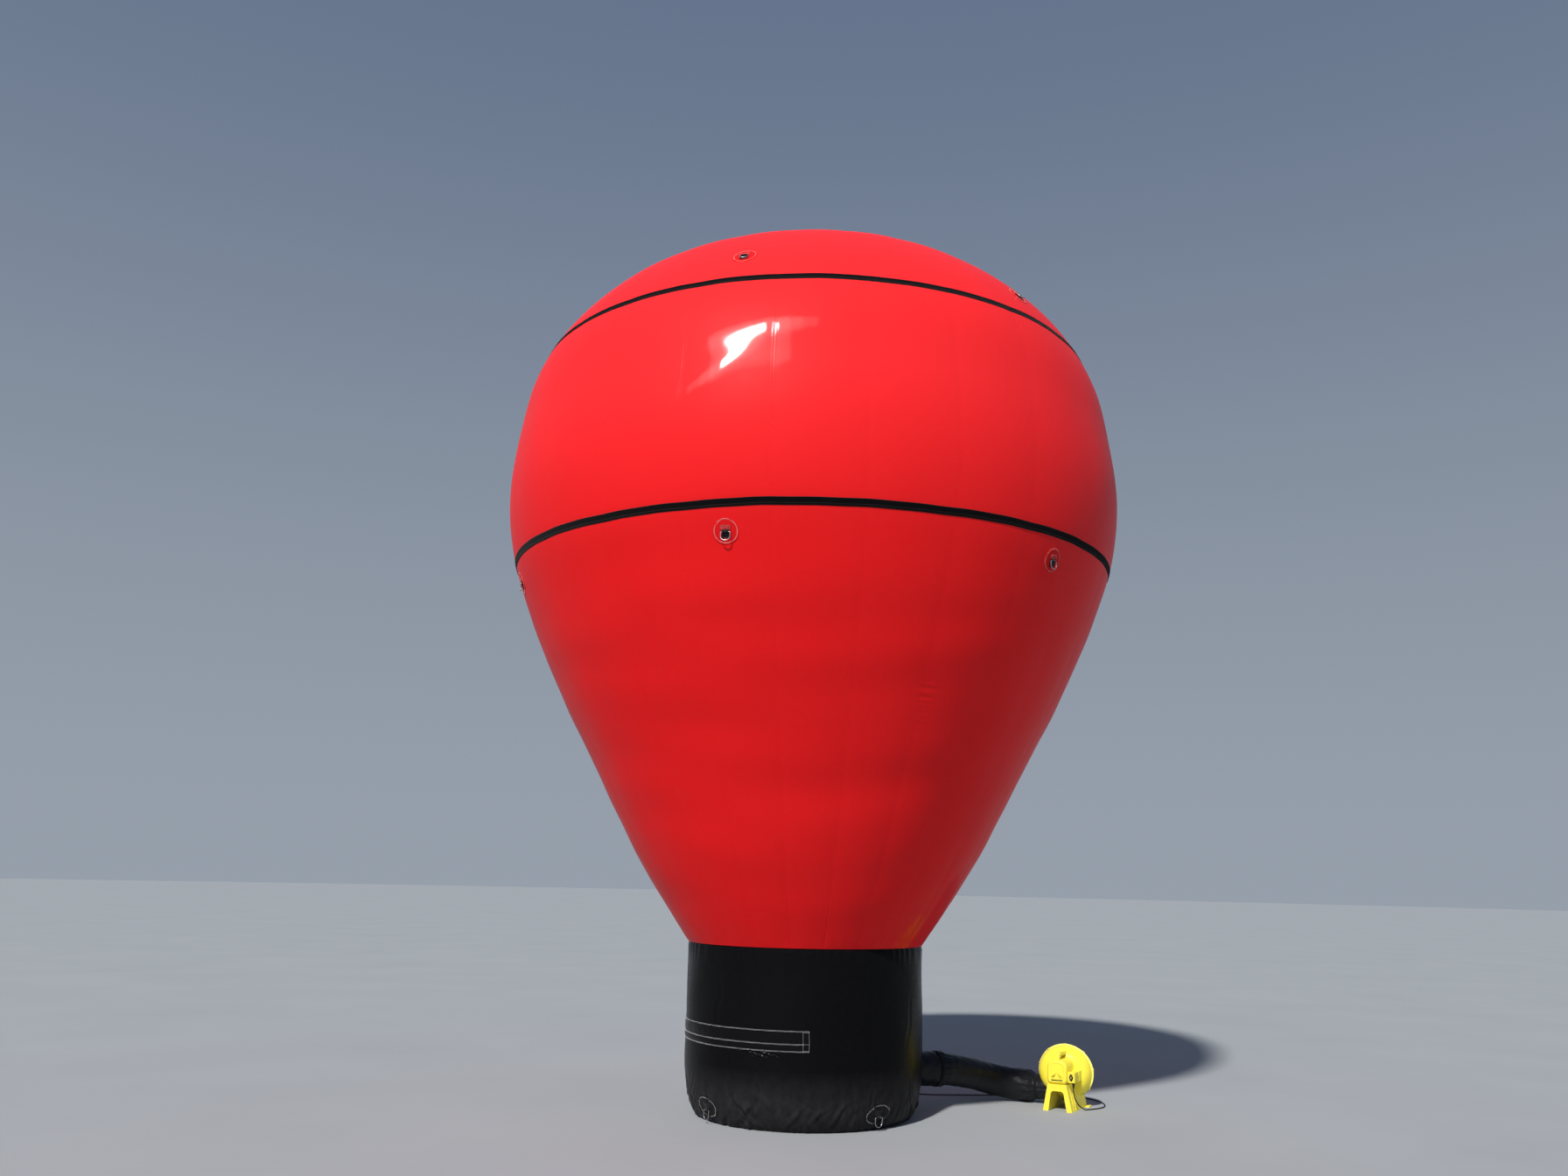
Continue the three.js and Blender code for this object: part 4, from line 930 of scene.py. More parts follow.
# ------------------------------------------------------------------ the deflation zip's flap
def zip_flap():
    az0, az1, z0, z1 = -189.0, -87.8, .520, .664
    az = np.concatenate([[az0, az0 + .12], np.linspace(az0, az1, 133)[1:-1], [az1 - .12, az1]])
    zs = [z0, z0 + .002, .529, .536, .545, .552, .560, .567, .574, .582, .600, .620, .640, .650, .656, z1 - .002, z1]

    def lift(a, z):
        inside = smoothstep(.577, .600, z) * smoothstep(.654, .635, z)
        zip_ridge = np.exp(-((z - .5515) / .011) ** 2)
        lip = smoothstep(.529, .520, z)
        loose = .0011 * np.sin(a * .21 + 1) + .0007 * np.sin(a * .53) + .0004 * np.sin(a * 1.3)
        ends = smoothstep(az0, az0 + 2, a) * smoothstep(az1, az1 - 3.2, a)
        return .0016 + ends * (.0032 * zip_ridge + (.0016 + loose) * inside) + .0006 * lip

    rows = np.array([base_point(az, np.full_like(az, float(base_along(z))), lift(az, z) + .0006) for z in zs])
    back = np.array([base_point(az, np.full_like(az, float(base_along(z))), -.0012) for z in zs])
    n, m = len(zs), len(az)
    points = np.concatenate([rows.reshape(-1, 3), back.reshape(-1, 3)])
    at = n * m
    top, bottom = np.arange(m), (n - 1) * m + np.arange(m)
    left, right = np.arange(n) * m, np.arange(n) * m + m - 1

    def strip(line, flip):
        f = np.stack([line[:-1], line[1:], line[1:] + at, line[:-1] + at], -1)
        return f[:, ::-1] if flip else f
    faces = [quads(n, m), quads(n, m, flip=True, start=at), strip(top, True), strip(bottom, False), strip(left, False), strip(right, True)]
    flap = build("deflation_zip_cover", [(points, faces, 0)], BLACK_PATCH, replaces=("zip_flap",))
    rowsets = []

    def run(azs, zs_):
        azs, zs_ = np.asarray(azs, float), np.asarray(zs_, float)
        s = base_along(zs_)
        h = lift(azs, zs_) + .0006
        p, q = base_point(azs, s, h), base_point(azs, s, h + .01)
        nn = (q - p) / np.linalg.norm(q - p, axis=1)[:, None]
        rowsets.append((*stitches(p, nn, pitch=.0060, length=.0058, width=.0027, height=.0012), 0))

    long = np.linspace(az0 + .3, az1 - .2, 400)
    wander = .0006 * np.sin(long * .9) + .0005 * np.sin(long * 2.3)
    for up in (-.0022, .0022):
        run(long, .6585 + up + wander)
        run(np.linspace(az0 + .3, az1 - 2.6, 400), .5745 + up + wander)
        run(long, .5285 + up + wander * .6)
    for a0, lo, hi in ((az1 - .25, .527, .659), (az1 - 2.95, .524, .661), (az0 + .4, .527, .659), (az0 + 3.1, .524, .661)):
        run(np.full(30, a0) + .05 * np.sin(np.linspace(0, 5, 30)), np.linspace(lo, hi, 30))
    for a0 in (az1 - 1.6, az0 + 1.75):                       # bar tacks at the corners
        for zz in (.5330, .6520, .5770):
            run(np.linspace(a0 - 1.3, a0 + 1.3, 12), np.full(12, zz))
    build("deflation_zip_stitching", rowsets, THREAD_ZIP, smooth=False)
    return flap


THREAD_ZIP = thread("thread_zip", (.56, .55, .56), (.40, .39, .40))
flap = zip_flap()

# ------------------------------------------------------------------ inlet sleeve, duct, cuff and ties
def bezier(a, b, c, d, n):
    t = np.linspace(0, 1, n)[:, None]
    return (1 - t) ** 3 * a + 3 * (1 - t) ** 2 * t * b + 3 * (1 - t) * t * t * c + t ** 3 * d


def soft_tube(name, path, radius, relief, material, node, sides=96, floor=None, hollow=.0):
    """A soft round tube. radius: one for each point of the path; relief(angle, along) adds folds."""
    path = np.asarray(path, float)
    t, side, up = frames_along(path)
    along = np.concatenate([[0], np.cumsum(np.linalg.norm(np.diff(path, axis=0), axis=1))])
    a = np.arange(sides) * 2 * math.pi / sides
    A, S = np.meshgrid(a, along)
    r = np.asarray(radius)[:, None] + relief(A, S)
    rings = path[:, None] + r[..., None] * (np.cos(A)[..., None] * side[:, None] + np.sin(A)[..., None] * up[:, None])
    if floor is not None:
        low = rings[..., 2]
        rings[..., 2] = np.where(low < floor, floor + (low - floor) * .05, low)
    uv = np.stack([A * .12, S], -1).reshape(-1, 2)
    if hollow:
        inner = path[:, None] + (r[..., None] - hollow) * (np.cos(A)[..., None] * side[:, None] + np.sin(A)[..., None] * up[:, None])
        n = len(path)
        points = np.concatenate([rings.reshape(-1, 3), inner.reshape(-1, 3)])
        at = n * sides
        j = np.arange(sides); k = (j + 1) % sides
        faces = [quads(n, sides, wrap=True), quads(n, sides, wrap=True, flip=True, start=at),
                 np.stack([at + j, at + k, k, j], -1), np.stack([at - sides + j, at - sides + k, 2 * at - sides + k, 2 * at - sides + j], -1)]
        return build(name, [(points, faces, 0, np.concatenate([uv, uv]))], material, replaces=(node,))
    p, f = closed_tube(rings)
    return build(name, [(p, f, 0, np.concatenate([uv, [[0, 0], [0, 0]]]))], material, replaces=(node,))


def strap(name, centre, axis, radius, width, thick, node, buckle_at=0.0, turn=0.0):
    """A webbing strap round a tube, its end drawn through a ladder buckle and hanging a little."""
    centre, axis = np.asarray(centre, float), np.asarray(axis, float)
    axis = axis / np.linalg.norm(axis)
    side = np.cross(axis, [0, 0, 1.0]); side /= np.linalg.norm(side)
    up = np.cross(side, axis)
    n = 120
    a = np.arange(n) * 2 * math.pi / n
    section = [(-width / 2, 0), (-width / 2, thick), (0, thick * 1.12), (width / 2, thick), (width / 2, 0)]
    rings = []
    for ang in a:
        out = math.cos(ang) * side + math.sin(ang) * up
        wob = .0006 * math.sin(5 * ang + turn) + .0004 * math.sin(11 * ang)
        slip = .0016 * math.sin(2 * ang + turn)
        rings.append([centre + out * (radius + wob + h) + axis * (x + slip) for x, h in section])
    rings = np.array(rings)
    m = len(section)
    f = quads(n, m, wrap=True)
    last = quads(2, m, wrap=True)
    last = np.where(last >= m, last - m, last + (n - 1) * m)
    uv = np.stack([np.repeat(a * radius, m), np.tile([x for x, _ in section], n)], -1)
    build(name, [(rings.reshape(-1, 3), [f, last], 0, uv)], WEB_BLACK, replaces=(node,))
    b = buckle_at
    out = math.cos(b) * side + math.sin(b) * up
    along = -math.sin(b) * side + math.cos(b) * up
    frame_path = []
    hw, hl = width / 2 + .004, .013
    for x, y in ((-hw, -hl), (-hw, 0), (-hw, hl), (0, hl), (hw, hl), (hw, 0), (hw, -hl), (0, -hl)):
        bend = radius + thick + .003 - (y * y) / (2 * radius)
        frame_path.append(centre + out * bend + along * y + axis * x)
    p1 = tube(np.array(frame_path), .0020, 8, closed=True)
    p2 = tube(np.array([centre + out * (radius + thick + .003) + axis * x for x in np.linspace(-hw, hw, 5)]), .0018, 8)
    build(name + "_buckle", [(*p1, 0), (*p2, 0)], BLACK_PLASTIC)
    # the strap's free end
    tail_points = [(0, .0045), (.012, .0060), (.022, .0048), (.036, .0040), (.052, .0052)]
    tail_line = catmull(tail_points, 5)
    rings = []
    for y, h in tail_line:
        ang = b + y / radius
        o = math.cos(ang) * side + math.sin(ang) * up
        rings.append([centre + o * (radius + thick + h - .003 + q) + axis * x for x, q in ((-width * .42, -.0006), (-width * .42, .0006), (width * .42, .0006), (width * .42, -.0006))])
    p, f = closed_tube(np.array(rings))
    build(name + "_end", [(p, f, 0, np.stack([np.linspace(0, .05, len(p)), np.tile([0, .02], len(p) // 2)], -1))], WEB_BLACK)


inlet_dir = np.array([math.cos(INLET_AZ * RAD), math.sin(INLET_AZ * RAD), INLET_SLOPE])
inlet_dir /= np.linalg.norm(inlet_dir)
inlet_at = np.array([BASE_R * math.cos(INLET_AZ * RAD), BASE_R * math.sin(INLET_AZ * RAD), INLET_Z])

# the sleeve's welded collar on the base
n = 96
t = np.arange(n) * 2 * math.pi / n
s_inlet = float(base_along(INLET_Z))
rows = []
for q, h in ((.118, -.004), (.118, .0030), (.126, .0036), (.140, .0026), (.150, .0022), (.1555, .0020), (.1575, .0012), (.1580, -.003)):
    rr = q * (1 + .012 * np.sin(3 * t + 1) + .008 * np.sin(7 * t)) if q > .13 else np.full(n, q)
    rows.append(base_point(INLET_AZ + rr * np.cos(t) / BASE_R / RAD, s_inlet + rr * np.sin(t), np.full(n, h)))
rows = np.array(rows)
f = quads(len(rows), n, wrap=True, flip=True)
last = quads(2, n, wrap=True, flip=True)
last = np.where(last >= n, last - n, last + (len(rows) - 1) * n)
build("inlet_collar", [(rows.reshape(-1, 3), [f, last], 0)], BLACK_PATCH)
ring = []
tt = np.linspace(0, 2 * math.pi, 161)
for q, h in ((.1505, .0022), (.1425, .0025)):
    rr = q * (1 + .012 * np.sin(3 * tt + 1) + .008 * np.sin(7 * tt))
    p = base_point(INLET_AZ + rr * np.cos(tt) / BASE_R / RAD, s_inlet + rr * np.sin(tt), np.full(161, h))
    q2 = base_point(INLET_AZ + rr * np.cos(tt) / BASE_R / RAD, s_inlet + rr * np.sin(tt), np.full(161, h + .01))
    nn = (q2 - p) / np.linalg.norm(q2 - p, axis=1)[:, None]
    ring.append((*stitches(p, nn, pitch=.0065, length=.0044, width=.0013, height=.0008), 0))
build("inlet_collar_stitching", ring, THREAD_GREY, smooth=False)


def sleeve_relief(a, s):
    s = s - .03                                             # from the wall
    pleat = np.sin(a * 17 + .8 * np.sin(a * 3)) + .5 * np.sin(a * 29 + 2)
    gather = np.exp(-((s - .2525) / .030) ** 2)
    ruffle = smoothstep(.262, .300, s)
    d = .0013 * gather * pleat - .0018 * gather + .0030 * ruffle * pleat + .0010 * ruffle
    d = d + .0030 * smoothstep(.06, .0, s) * (1 + .25 * np.sin(a * 13)) + .0022 * np.sin(a * 3 + s * 22) * np.sin(s * 31 + a) * smoothstep(.02, .06, s) * (1 - gather)
    return d + .0008 * np.sin(a * 7 - s * 60) * (1 - gather)


path = np.array([inlet_at + inlet_dir * x for x in np.linspace(-.03, .300, 84)])
soft_tube("inlet_sleeve_tube", path, np.full(84, .1262), sleeve_relief, DUCT_BLACK, "inlet_sleeve", sides=120, hollow=.0016)
strap("sleeve_strap", inlet_at + inlet_dir * .2525, inlet_dir, .1278, .025, .0024, "sleeve_tie", buckle_at=1.1, turn=.6)

duct_from = inlet_at + inlet_dir * .26
duct_to = np.array(in_blower(-.3103, 0, .119))
outlet_dir = np.array(in_blower(1, 0, 0) - in_blower(0, 0, 0))
duct_path = bezier(duct_from, duct_from + inlet_dir * .33, duct_to - outlet_dir * .33, duct_to, 190)
duct_length = float(np.linalg.norm(np.diff(duct_path, axis=0), axis=1).sum())
folds = np.random.default_rng(23)
FOLDS = [(folds.uniform(.05, duct_length - .05), folds.uniform(0, 6.28), folds.uniform(-9, 9), folds.uniform(.016, .034), folds.uniform(.4, 1.3), folds.uniform(.0012, .0034) * folds.choice([-1, 1, -1])) for _ in range(34)]


def duct_relief(a, s):
    d = .0011 * np.sin(a * 2 + s * 5) + .0008 * np.sin(a * 5 - s * 17) + .0005 * np.sin(a * 9 + s * 41)
    for at_s, at_a, lean, width, spread, depth in FOLDS:
        da = (a - at_a + math.pi) % (2 * math.pi) - math.pi
        u = s - at_s - da * .118 * lean * .06
        d = d + depth * np.exp(-(u / width) ** 2 - (da / spread) ** 2)
    seam = (a - 1.95 + math.pi) % (2 * math.pi) - math.pi
    d = d + .0011 * smoothstep(-.115, -.100, seam) * smoothstep(.115, .100, seam) - .0007 * np.exp(-(seam / .02) ** 2)
    first = smoothstep(.16, .02, s)
    pleat = np.sin(a * 17 + .8 * np.sin(a * 3)) + .5 * np.sin(a * 29 + 2)
    d = d + .0022 * first * smoothstep(.0, .05, s) * pleat
    end = smoothstep(duct_length - .14, duct_length, s)
    return (d * smoothstep(0, .06, s) + .0034 * end * (np.sin(a * 13 + .9 * np.sin(a * 4)) + .4 * np.sin(a * 31)))


soft_tube("soft_duct", duct_path, np.full(190, .1165), duct_relief, DUCT_BLACK, "air_duct", sides=128, floor=.0012)


# ------------------------------------------------------------------ blower
B4 = np.array(blower_frame)


def world(points):
    points = np.asarray(points, float).reshape(-1, 3)
    return points @ B4[:3, :3].T + B4[:3, 3]


STRETCH, SHIFT = 1.07, -.020                                  # the housing is an oval, off centre to the outlet
DOME = [(.0800, -.1210), (.1080, -.1194), (.1370, -.1112), (.1615, -.0938), (.1790, -.0684), (.1886, -.0392), (.1920, -.0120),
        (.1920, .0100), (.1900, .0380), (.1820, .0640), (.1680, .0820), (.1480, .0919)]


def lathe_y(profile, n=120, z=.250, relief=None, oval=None):
    """A closed section (r, y) turned about the blower's own axis, and drawn out to the housing's oval between two radii."""
    a = np.arange(n) * 2 * math.pi / n
    profile = np.asarray(profile, float)
    r = np.broadcast_to(profile[:, 0][:, None], (len(profile), n)).copy()
    y = np.broadcast_to(profile[:, 1][:, None], (len(profile), n)).copy()
    if relief is not None:
        r, y = relief(a[None], r, y)
    w = smoothstep(oval[0], oval[1], r) if oval else 0.0
    p = np.stack([r * np.cos(a) * (1 + (STRETCH - 1) * w) + SHIFT * w, y, z + r * np.sin(a)], -1)
    m = len(profile)
    f = quads(m, n, wrap=True)
    last = quads(2, n, wrap=True)
    last = np.where(last >= n, last - n, last + (m - 1) * n)
    return world(p), [f, last]


def arc(cx, cy, r, a0, a1, n=6):
    return [(cx + r * math.cos(v * RAD), cy + r * math.sin(v * RAD)) for v in np.linspace(a0, a1, n)]


def rounded(x0, x1, z0, z1, low, high, n=9):
    return np.array(arc(x0 + low, z0 + low, low, 180, 270, n) + arc(x1 - low, z0 + low, low, 270, 360, n) + arc(x1 - high, z1 - high, high, 0, 90, n) + arc(x0 + high, z1 - high, high, 90, 180, n))


def inset(outline, d):
    """The outline (counterclockwise, x and z) moved inwards by d."""
    o = np.asarray(outline, float)
    e1, e2 = o - np.roll(o, 1, 0), np.roll(o, -1, 0) - o
    e1 /= np.maximum(np.linalg.norm(e1, axis=1), 1e-9)[:, None]
    e2 /= np.maximum(np.linalg.norm(e2, axis=1), 1e-9)[:, None]
    n1, n2 = np.stack([-e1[:, 1], e1[:, 0]], -1), np.stack([-e2[:, 1], e2[:, 0]], -1)
    n = n1 + n2
    n /= np.maximum(np.linalg.norm(n, axis=1), 1e-9)[:, None]
    k = 1 / np.maximum((n * n1).sum(1), .5)
    return o + n * (d * k)[:, None]


def loft(outlines, ys, cap=True):
    """Outlines in x and z at each y, joined into one closed solid."""
    rings = np.array([[(x, y, z) for x, z in o] for o, y in zip(outlines, ys)])
    p, f = closed_tube(rings, cap)
    return world(p), f


# the two halves of the housing, with a bolted rim
BOSSES = [8, 49, 90, 131, 168, 213, 262, 325]


def rim_relief(a, r, y):
    edge = smoothstep(.198, .2015, r)
    lobes = 0
    for b in BOSSES:
        da = (a - b * RAD + math.pi) % (2 * math.pi) - math.pi
        lobes = lobes + np.exp(-(da / .048) ** 4)
    return r + edge * .0042 * lobes, y


def edge_faces(obj, profile, n):
    """The rim's own faces take the second material."""
    p = np.asarray(profile)
    on_rim = (p[:-1, 0] > .1921) & (p[1:, 0] > .1921) & (np.abs(p[:-1, 1]) > .0003) & (np.abs(p[1:, 1]) > .0003)
    which = np.zeros(len(obj.data.polygons), np.int32)
    which[:(len(p) - 1) * n] = np.repeat(on_rim, n)
    obj.data.polygons.foreach_set("material_index", which)


front = [(.1985, -.0002), (.2020, -.0006), (.2020, -.0052), (.2010, -.0060), (.1940, -.0060), (.1926, -.0074)] \
    + [tuple(v) for v in catmull(DOME[:7], 5)[::-1]] + [(.0600, -.1210), (.0170, -.1210), (.0162, -.1204), (.0162, -.1180), (.0800, -.1168), (.1023, -.1146), (.1294, -.1053), (.1543, -.0877), (.1724, -.0637), (.1836, -.0365), (.1880, -.0120), (.1880, -.0002)]
n_a = 176
p, f = lathe_y(front[::-1], n_a, relief=rim_relief, oval=(.020, .078))
parts = [(p, f, 0)]


def spout(y_sign_front):
    """The square outlet, out along -X, split on the rim's plane."""
    half = rounded(-.056, .056, .064, .176, .011, .011, 6)
    keep = []
    lo, hi = (-.056, -.0002) if y_sign_front else (.0002, .056)
    out = []
    for x_ in (-.262, -.2600, -.2400, -.2385, -.2200, -.2100, -.1700, -.1560, -.1500):
        grow = .0035 if -.2601 < x_ < -.2385 else 0
        ring = []
        outline = inset(half, -grow)
        for y_, z_ in outline:
            ring.append((x_, min(max(y_, lo - (grow if y_sign_front else 0)), hi + (0 if y_sign_front else grow)), z_))
        out.append(ring)
    for x_ in (-.1500, -.1700, -.2400, -.262):
        outline = inset(half, .004)
        lo2, hi2 = (-.052, -.0002) if y_sign_front else (.0002, .052)
        out.append([(x_, min(max(y_, lo2), hi2), z_) for y_, z_ in outline])
    rings = np.array(out)
    m, k = rings.shape[:2]
    f_ = quads(m, k, wrap=True, flip=True)
    last_ = quads(2, k, wrap=True, flip=True)
    last_ = np.where(last_ >= k, last_ - k, last_ + (m - 1) * k)
    return world(rings), [f_, last_]


parts.append((*spout(True), 0))
edge_faces(build("blower_housing_front", parts, [YELLOW, YELLOW_EDGE], replaces=("scroll_front",), sharp=32), front[::-1], n_a)
rear = [(.1880, .0002), (.1880, .0100), (.1860, .0370), (.1785, .0615), (.1655, .0785), (.1470, .0880), (.1200, .0880), (.1040, .0850), (.0985, .0800), (.0960, .0800), (.0960, .0895), (.0985, .0918), (.1010, .0920), (.1280, .0920), (.1300, .0907), (.1350, .0907), (.1370, .0920), (.1440, .0920)] \
    + [tuple(v) for v in catmull(DOME[7:], 5)[::-1]] + [(.1926, .0074), (.1940, .0060), (.2010, .0060), (.2020, .0052), (.2020, .0006), (.1985, .0002)]
p, f = lathe_y(rear, n_a, relief=rim_relief, oval=(.100, .144))
edge_faces(build("blower_housing_rear", [(p, [q[:, ::-1] for q in f], 0), (*spout(False), 0)], [YELLOW, YELLOW_EDGE], replaces=("scroll_rear",), sharp=32), rear, n_a)

# rim bolts
bolts = []
for b in BOSSES:
    c = np.array([.2015 * STRETCH * math.cos(b * RAD) + SHIFT, 0, .250 + .2015 * math.sin(b * RAD)])
    a = np.arange(16) * 2 * math.pi / 16
    for lo, hi in ((-.0086, -.0056), (.0056, .0080)):
        rows = []
        for r_, y_ in ((.0020, lo), (.0036, lo), (.0042, lo + .0006 * (1 if lo < 0 else 1)), (.0042, hi)):
            rows.append(np.stack([c[0] + r_ * np.cos(a), np.full(16, y_ if lo < 0 else (hi + lo - y_)), c[2] + r_ * np.sin(a)], -1))
        q, g = closed_tube(np.array(rows))
        bolts.append((world(q), g if lo > 0 else g, 0))
build("blower_rim_bolts", bolts, STEEL)

# motor cover: a rounded pod with a raised rim and a slot
pod = rounded(-.0785, .0785, .193, .366, .032, .058, 12)
outlines, ys = [], []
for d, y in ((.0, -.1075), (.0, -.1600), (.0, -.2200), (.0, -.2720), (.0012, -.2800), (.0036, -.2872), (.0074, -.2932), (.0122, -.2974), (.0180, -.2994), (.0215, -.2998), (.0235, -.2992), (.0255, -.2984), (.0340, -.2988), (.0480, -.2994)):
    outlines.append(inset(pod, d))
    ys.append(y)
outlines, ys = [inset(pod, .022), inset(pod, .022)] + outlines, [-.1660, -.1075] + ys
p, f = loft(outlines, ys)
build("motor_pod", [(p, [q[:, ::-1] for q in f], 0)], YELLOW, replaces=("motor_cover",), sharp=30)
slot_outline = rounded(-.044, .044, .2170, .2250, .0036, .0036, 4)
p, f = loft([slot_outline, slot_outline, inset(slot_outline, .0008)], [-.2930, -.2994, -.3000])
build("motor_pod_slot", [(p, [q[:, ::-1] for q in f], 0)], BLACK_PLASTIC)
# switch box: front plate, groove, rear block
box_out = rounded(.0792, .134, .208, .284, .005, .005, 5)
outlines, ys = [], []
for d, y in ((.0, -.0930), (.0, -.1780), (.0005, -.1790), (.0040, -.1795), (.0040, -.1985), (.0005, -.1990), (.0, -.2000), (.0, -.2660), (.0, -.2800), (.0012, -.2838), (.0035, -.2850), (.0065, -.2850), (.0075, -.2838), (.0095, -.2835)):
    outlines.append(inset(box_out, d))
    ys.append(y)
p, f = loft(outlines, ys)
build("switch_housing", [(p, [q[:, ::-1] for q in f], 0)], YELLOW, replaces=("switch_box",), sharp=30)
sx, sz = .1064, .246
shape = np.array([(sx + .0155 * math.copysign(abs(math.cos(v)) ** 1.55, math.cos(v)), sz + .0265 * math.copysign(abs(math.sin(v)) ** 1.55, math.sin(v))) for v in np.arange(40) * 2 * math.pi / 40])
p, f = loft([shape, shape, inset(shape, .0010), inset(shape, .0030), inset(shape, .0036)], [-.2830, -.2866, -.2878, -.2880, -.2872])
centre = np.array([(sx + .0048 * math.copysign(abs(math.cos(v)) ** 1.2, math.cos(v)), sz + .0098 * math.copysign(abs(math.sin(v)) ** 1.2, math.sin(v))) for v in np.arange(40) * 2 * math.pi / 40])
p2, f2 = loft([centre, centre, inset(centre, .0010), inset(centre, .0026)], [-.2860, -.2898, -.2908, -.2911])
build("rocker_bezel", [(p, [q[:, ::-1] for q in f], 0)], BLACK_PLASTIC, replaces=("rocker_switch",))
build("rocker_key", [(p2, [q[:, ::-1] for q in f2], 0)], PALE_MARK)


def lathe_z(profile, n, at):
    a = np.arange(n) * 2 * math.pi / n
    rings = np.array([[(at[0] + r_ * math.cos(v), at[1] + r_ * math.sin(v), z_) for v in a] for r_, z_ in profile])
    return closed_tube(rings)


gz = .208 - .0003
profile = [(.0048, gz - .0380), (.0055, gz - .0378)]
for k in range(9):                                            # ribbed relief
    z_ = gz - .0360 + k * .0028
    r_ = .0055 + .0024 * (k + .5) / 9
    profile += [(r_ + .0006, z_), (r_ + .0006, z_ + .0014), (r_ - .0005, z_ + .0017), (r_ - .0005, z_ + .0025)]
profile += [(.0080, gz - .0100), (.0105, gz - .0096), (.0110, gz - .0088), (.0110, gz - .0008), (.0104, gz)]
p, f = lathe_z(profile, 28, np.array(in_blower(.116, -.262, 0)))
gland = build("lead_gland", [(p, f, 0)], RUBBER, replaces=("cable_gland",))


# ------------------------------------------------------------------ CAD pieces that keep their shape
def dress(node, material, bevel=.0, segments=2, sharp=40):
    o = NODES[node]
    o.data.materials.clear()
    o.data.materials.append(material)
    for q in o.data.polygons:
        q.use_smooth = True
    if bevel:
        m = o.modifiers.new("edge", 'BEVEL')
        m.width, m.segments, m.limit_method, m.angle_limit = bevel, segments, 'ANGLE', 32 * RAD
        m.use_clamp_overlap = True
        m.harden_normals = False
    return o


dress("blower_stand", YELLOW, .0030, 3)
dress("carry_handle", YELLOW, .0030, 3)
dress("impeller", BLACK_PLASTIC)
dress("intake_grille", BLACK_PLASTIC, .0008, 2)
dress("motor", MOTOR_PAINT, .004, 3)
dress("power_plug", RUBBER, .0022, 3)

# ribs on the stand's sides
ribs = []
for sgn in (-1, 1):
    for y0 in (-.245, -.195, -.145):
        rings = []
        for z_, x_ in ((.006, .1116), (.060, .0991), (.120, .0868), (.168, .0772)):
            w_ = .0030 if z_ < .16 else .0016
            proud = .0045 * (1 if .01 < z_ < .15 else .25)
            rings.append([(sgn * (x_ - .004), y0 - w_, z_), (sgn * (x_ - .004), y0 + w_, z_), (sgn * (x_ + proud), y0 + w_ * .6, z_), (sgn * (x_ + proud), y0 - w_ * .6, z_)])
        q, g = closed_tube(np.array(rings))
        ribs.append((world(q), g if sgn > 0 else [h[:, ::-1] for h in g], 0))
build("stand_ribs", ribs, YELLOW, sharp=30)

# the duct's end, gathered over the outlet and up against the housing
dome = np.array(DOME)


def housing_x(y, z):
    """Where the housing's outlet side stands at y and z; far off where there is none."""
    r_ = np.interp(y, dome[:, 1], dome[:, 0])
    r_ = r_ + (.2042 - r_) * smoothstep(.0125, .0085, np.abs(y))
    q = r_ * r_ - (z - .250) ** 2
    return np.where(q > 0, SHIFT - STRETCH * np.sqrt(np.maximum(q, 0)), 1.0)


a = np.arange(144) * 2 * math.pi / 144
lip = np.minimum(-.1310, housing_x(.091 * np.sin(a), .119 + .091 * np.cos(a)) - .0016)
pleat = np.sin(a * 13 + .9 * np.sin(a * 4)) + .4 * np.sin(a * 31)
rows = []
for x_ in list(np.linspace(-.3110, -.2600, 26)) + list(np.linspace(-.2580, -.2352, 12)) + list(np.linspace(0, 1, 19)[1:]):
    at_lip = x_ >= 0
    xs = -.2352 + (lip + .2352) * x_ if at_lip else np.full(144, x_)
    t_ = smoothstep(-.3180, -.2480, xs)
    tight = np.exp(-((xs + .246) / .012) ** 2)
    ruffle = smoothstep(.45, 1.0, x_) if at_lip else 0.0
    amp = .0034 * (1 - t_ * .38) * (1 - .62 * tight) + .0014 * ruffle
    rr = .1165 + (.0882 - .1165) * t_ + amp * pleat + .0008 * tight
    rr = rr + (.0016 * np.sin(a * 5 + xs * 60) * np.sin((xs + .235) * 40) if at_lip else 0)
    rows.append(np.stack([xs, rr * np.sin(a), .119 + rr * np.cos(a)], -1))
rows = np.array(rows)
inner = rows.copy()
inner[..., 1] *= .975
inner[..., 2] = .119 + (inner[..., 2] - .119) * .975
rows[..., 2] = np.maximum(rows[..., 2], .0012)
inner[..., 2] = np.maximum(inner[..., 2], .0030)
m = len(rows)
pts = np.concatenate([rows.reshape(-1, 3), inner.reshape(-1, 3)])
at = m * 144
j = np.arange(144); k = (j + 1) % 144
faces = [quads(m, 144, wrap=True, flip=True), quads(m, 144, wrap=True, start=at), np.stack([j, k, at + k, at + j], -1), np.stack([at - 144 + k, at - 144 + j, 2 * at - 144 + j, 2 * at - 144 + k], -1)]
build("duct_end", [(world(pts), faces, 0)], DUCT_BLACK, replaces=("duct_cuff",))
strap("outlet_strap", world([(-.246, 0, .119)])[0], outlet_dir, .0904, .021, .0026, "outlet_tie", buckle_at=.9, turn=.2)

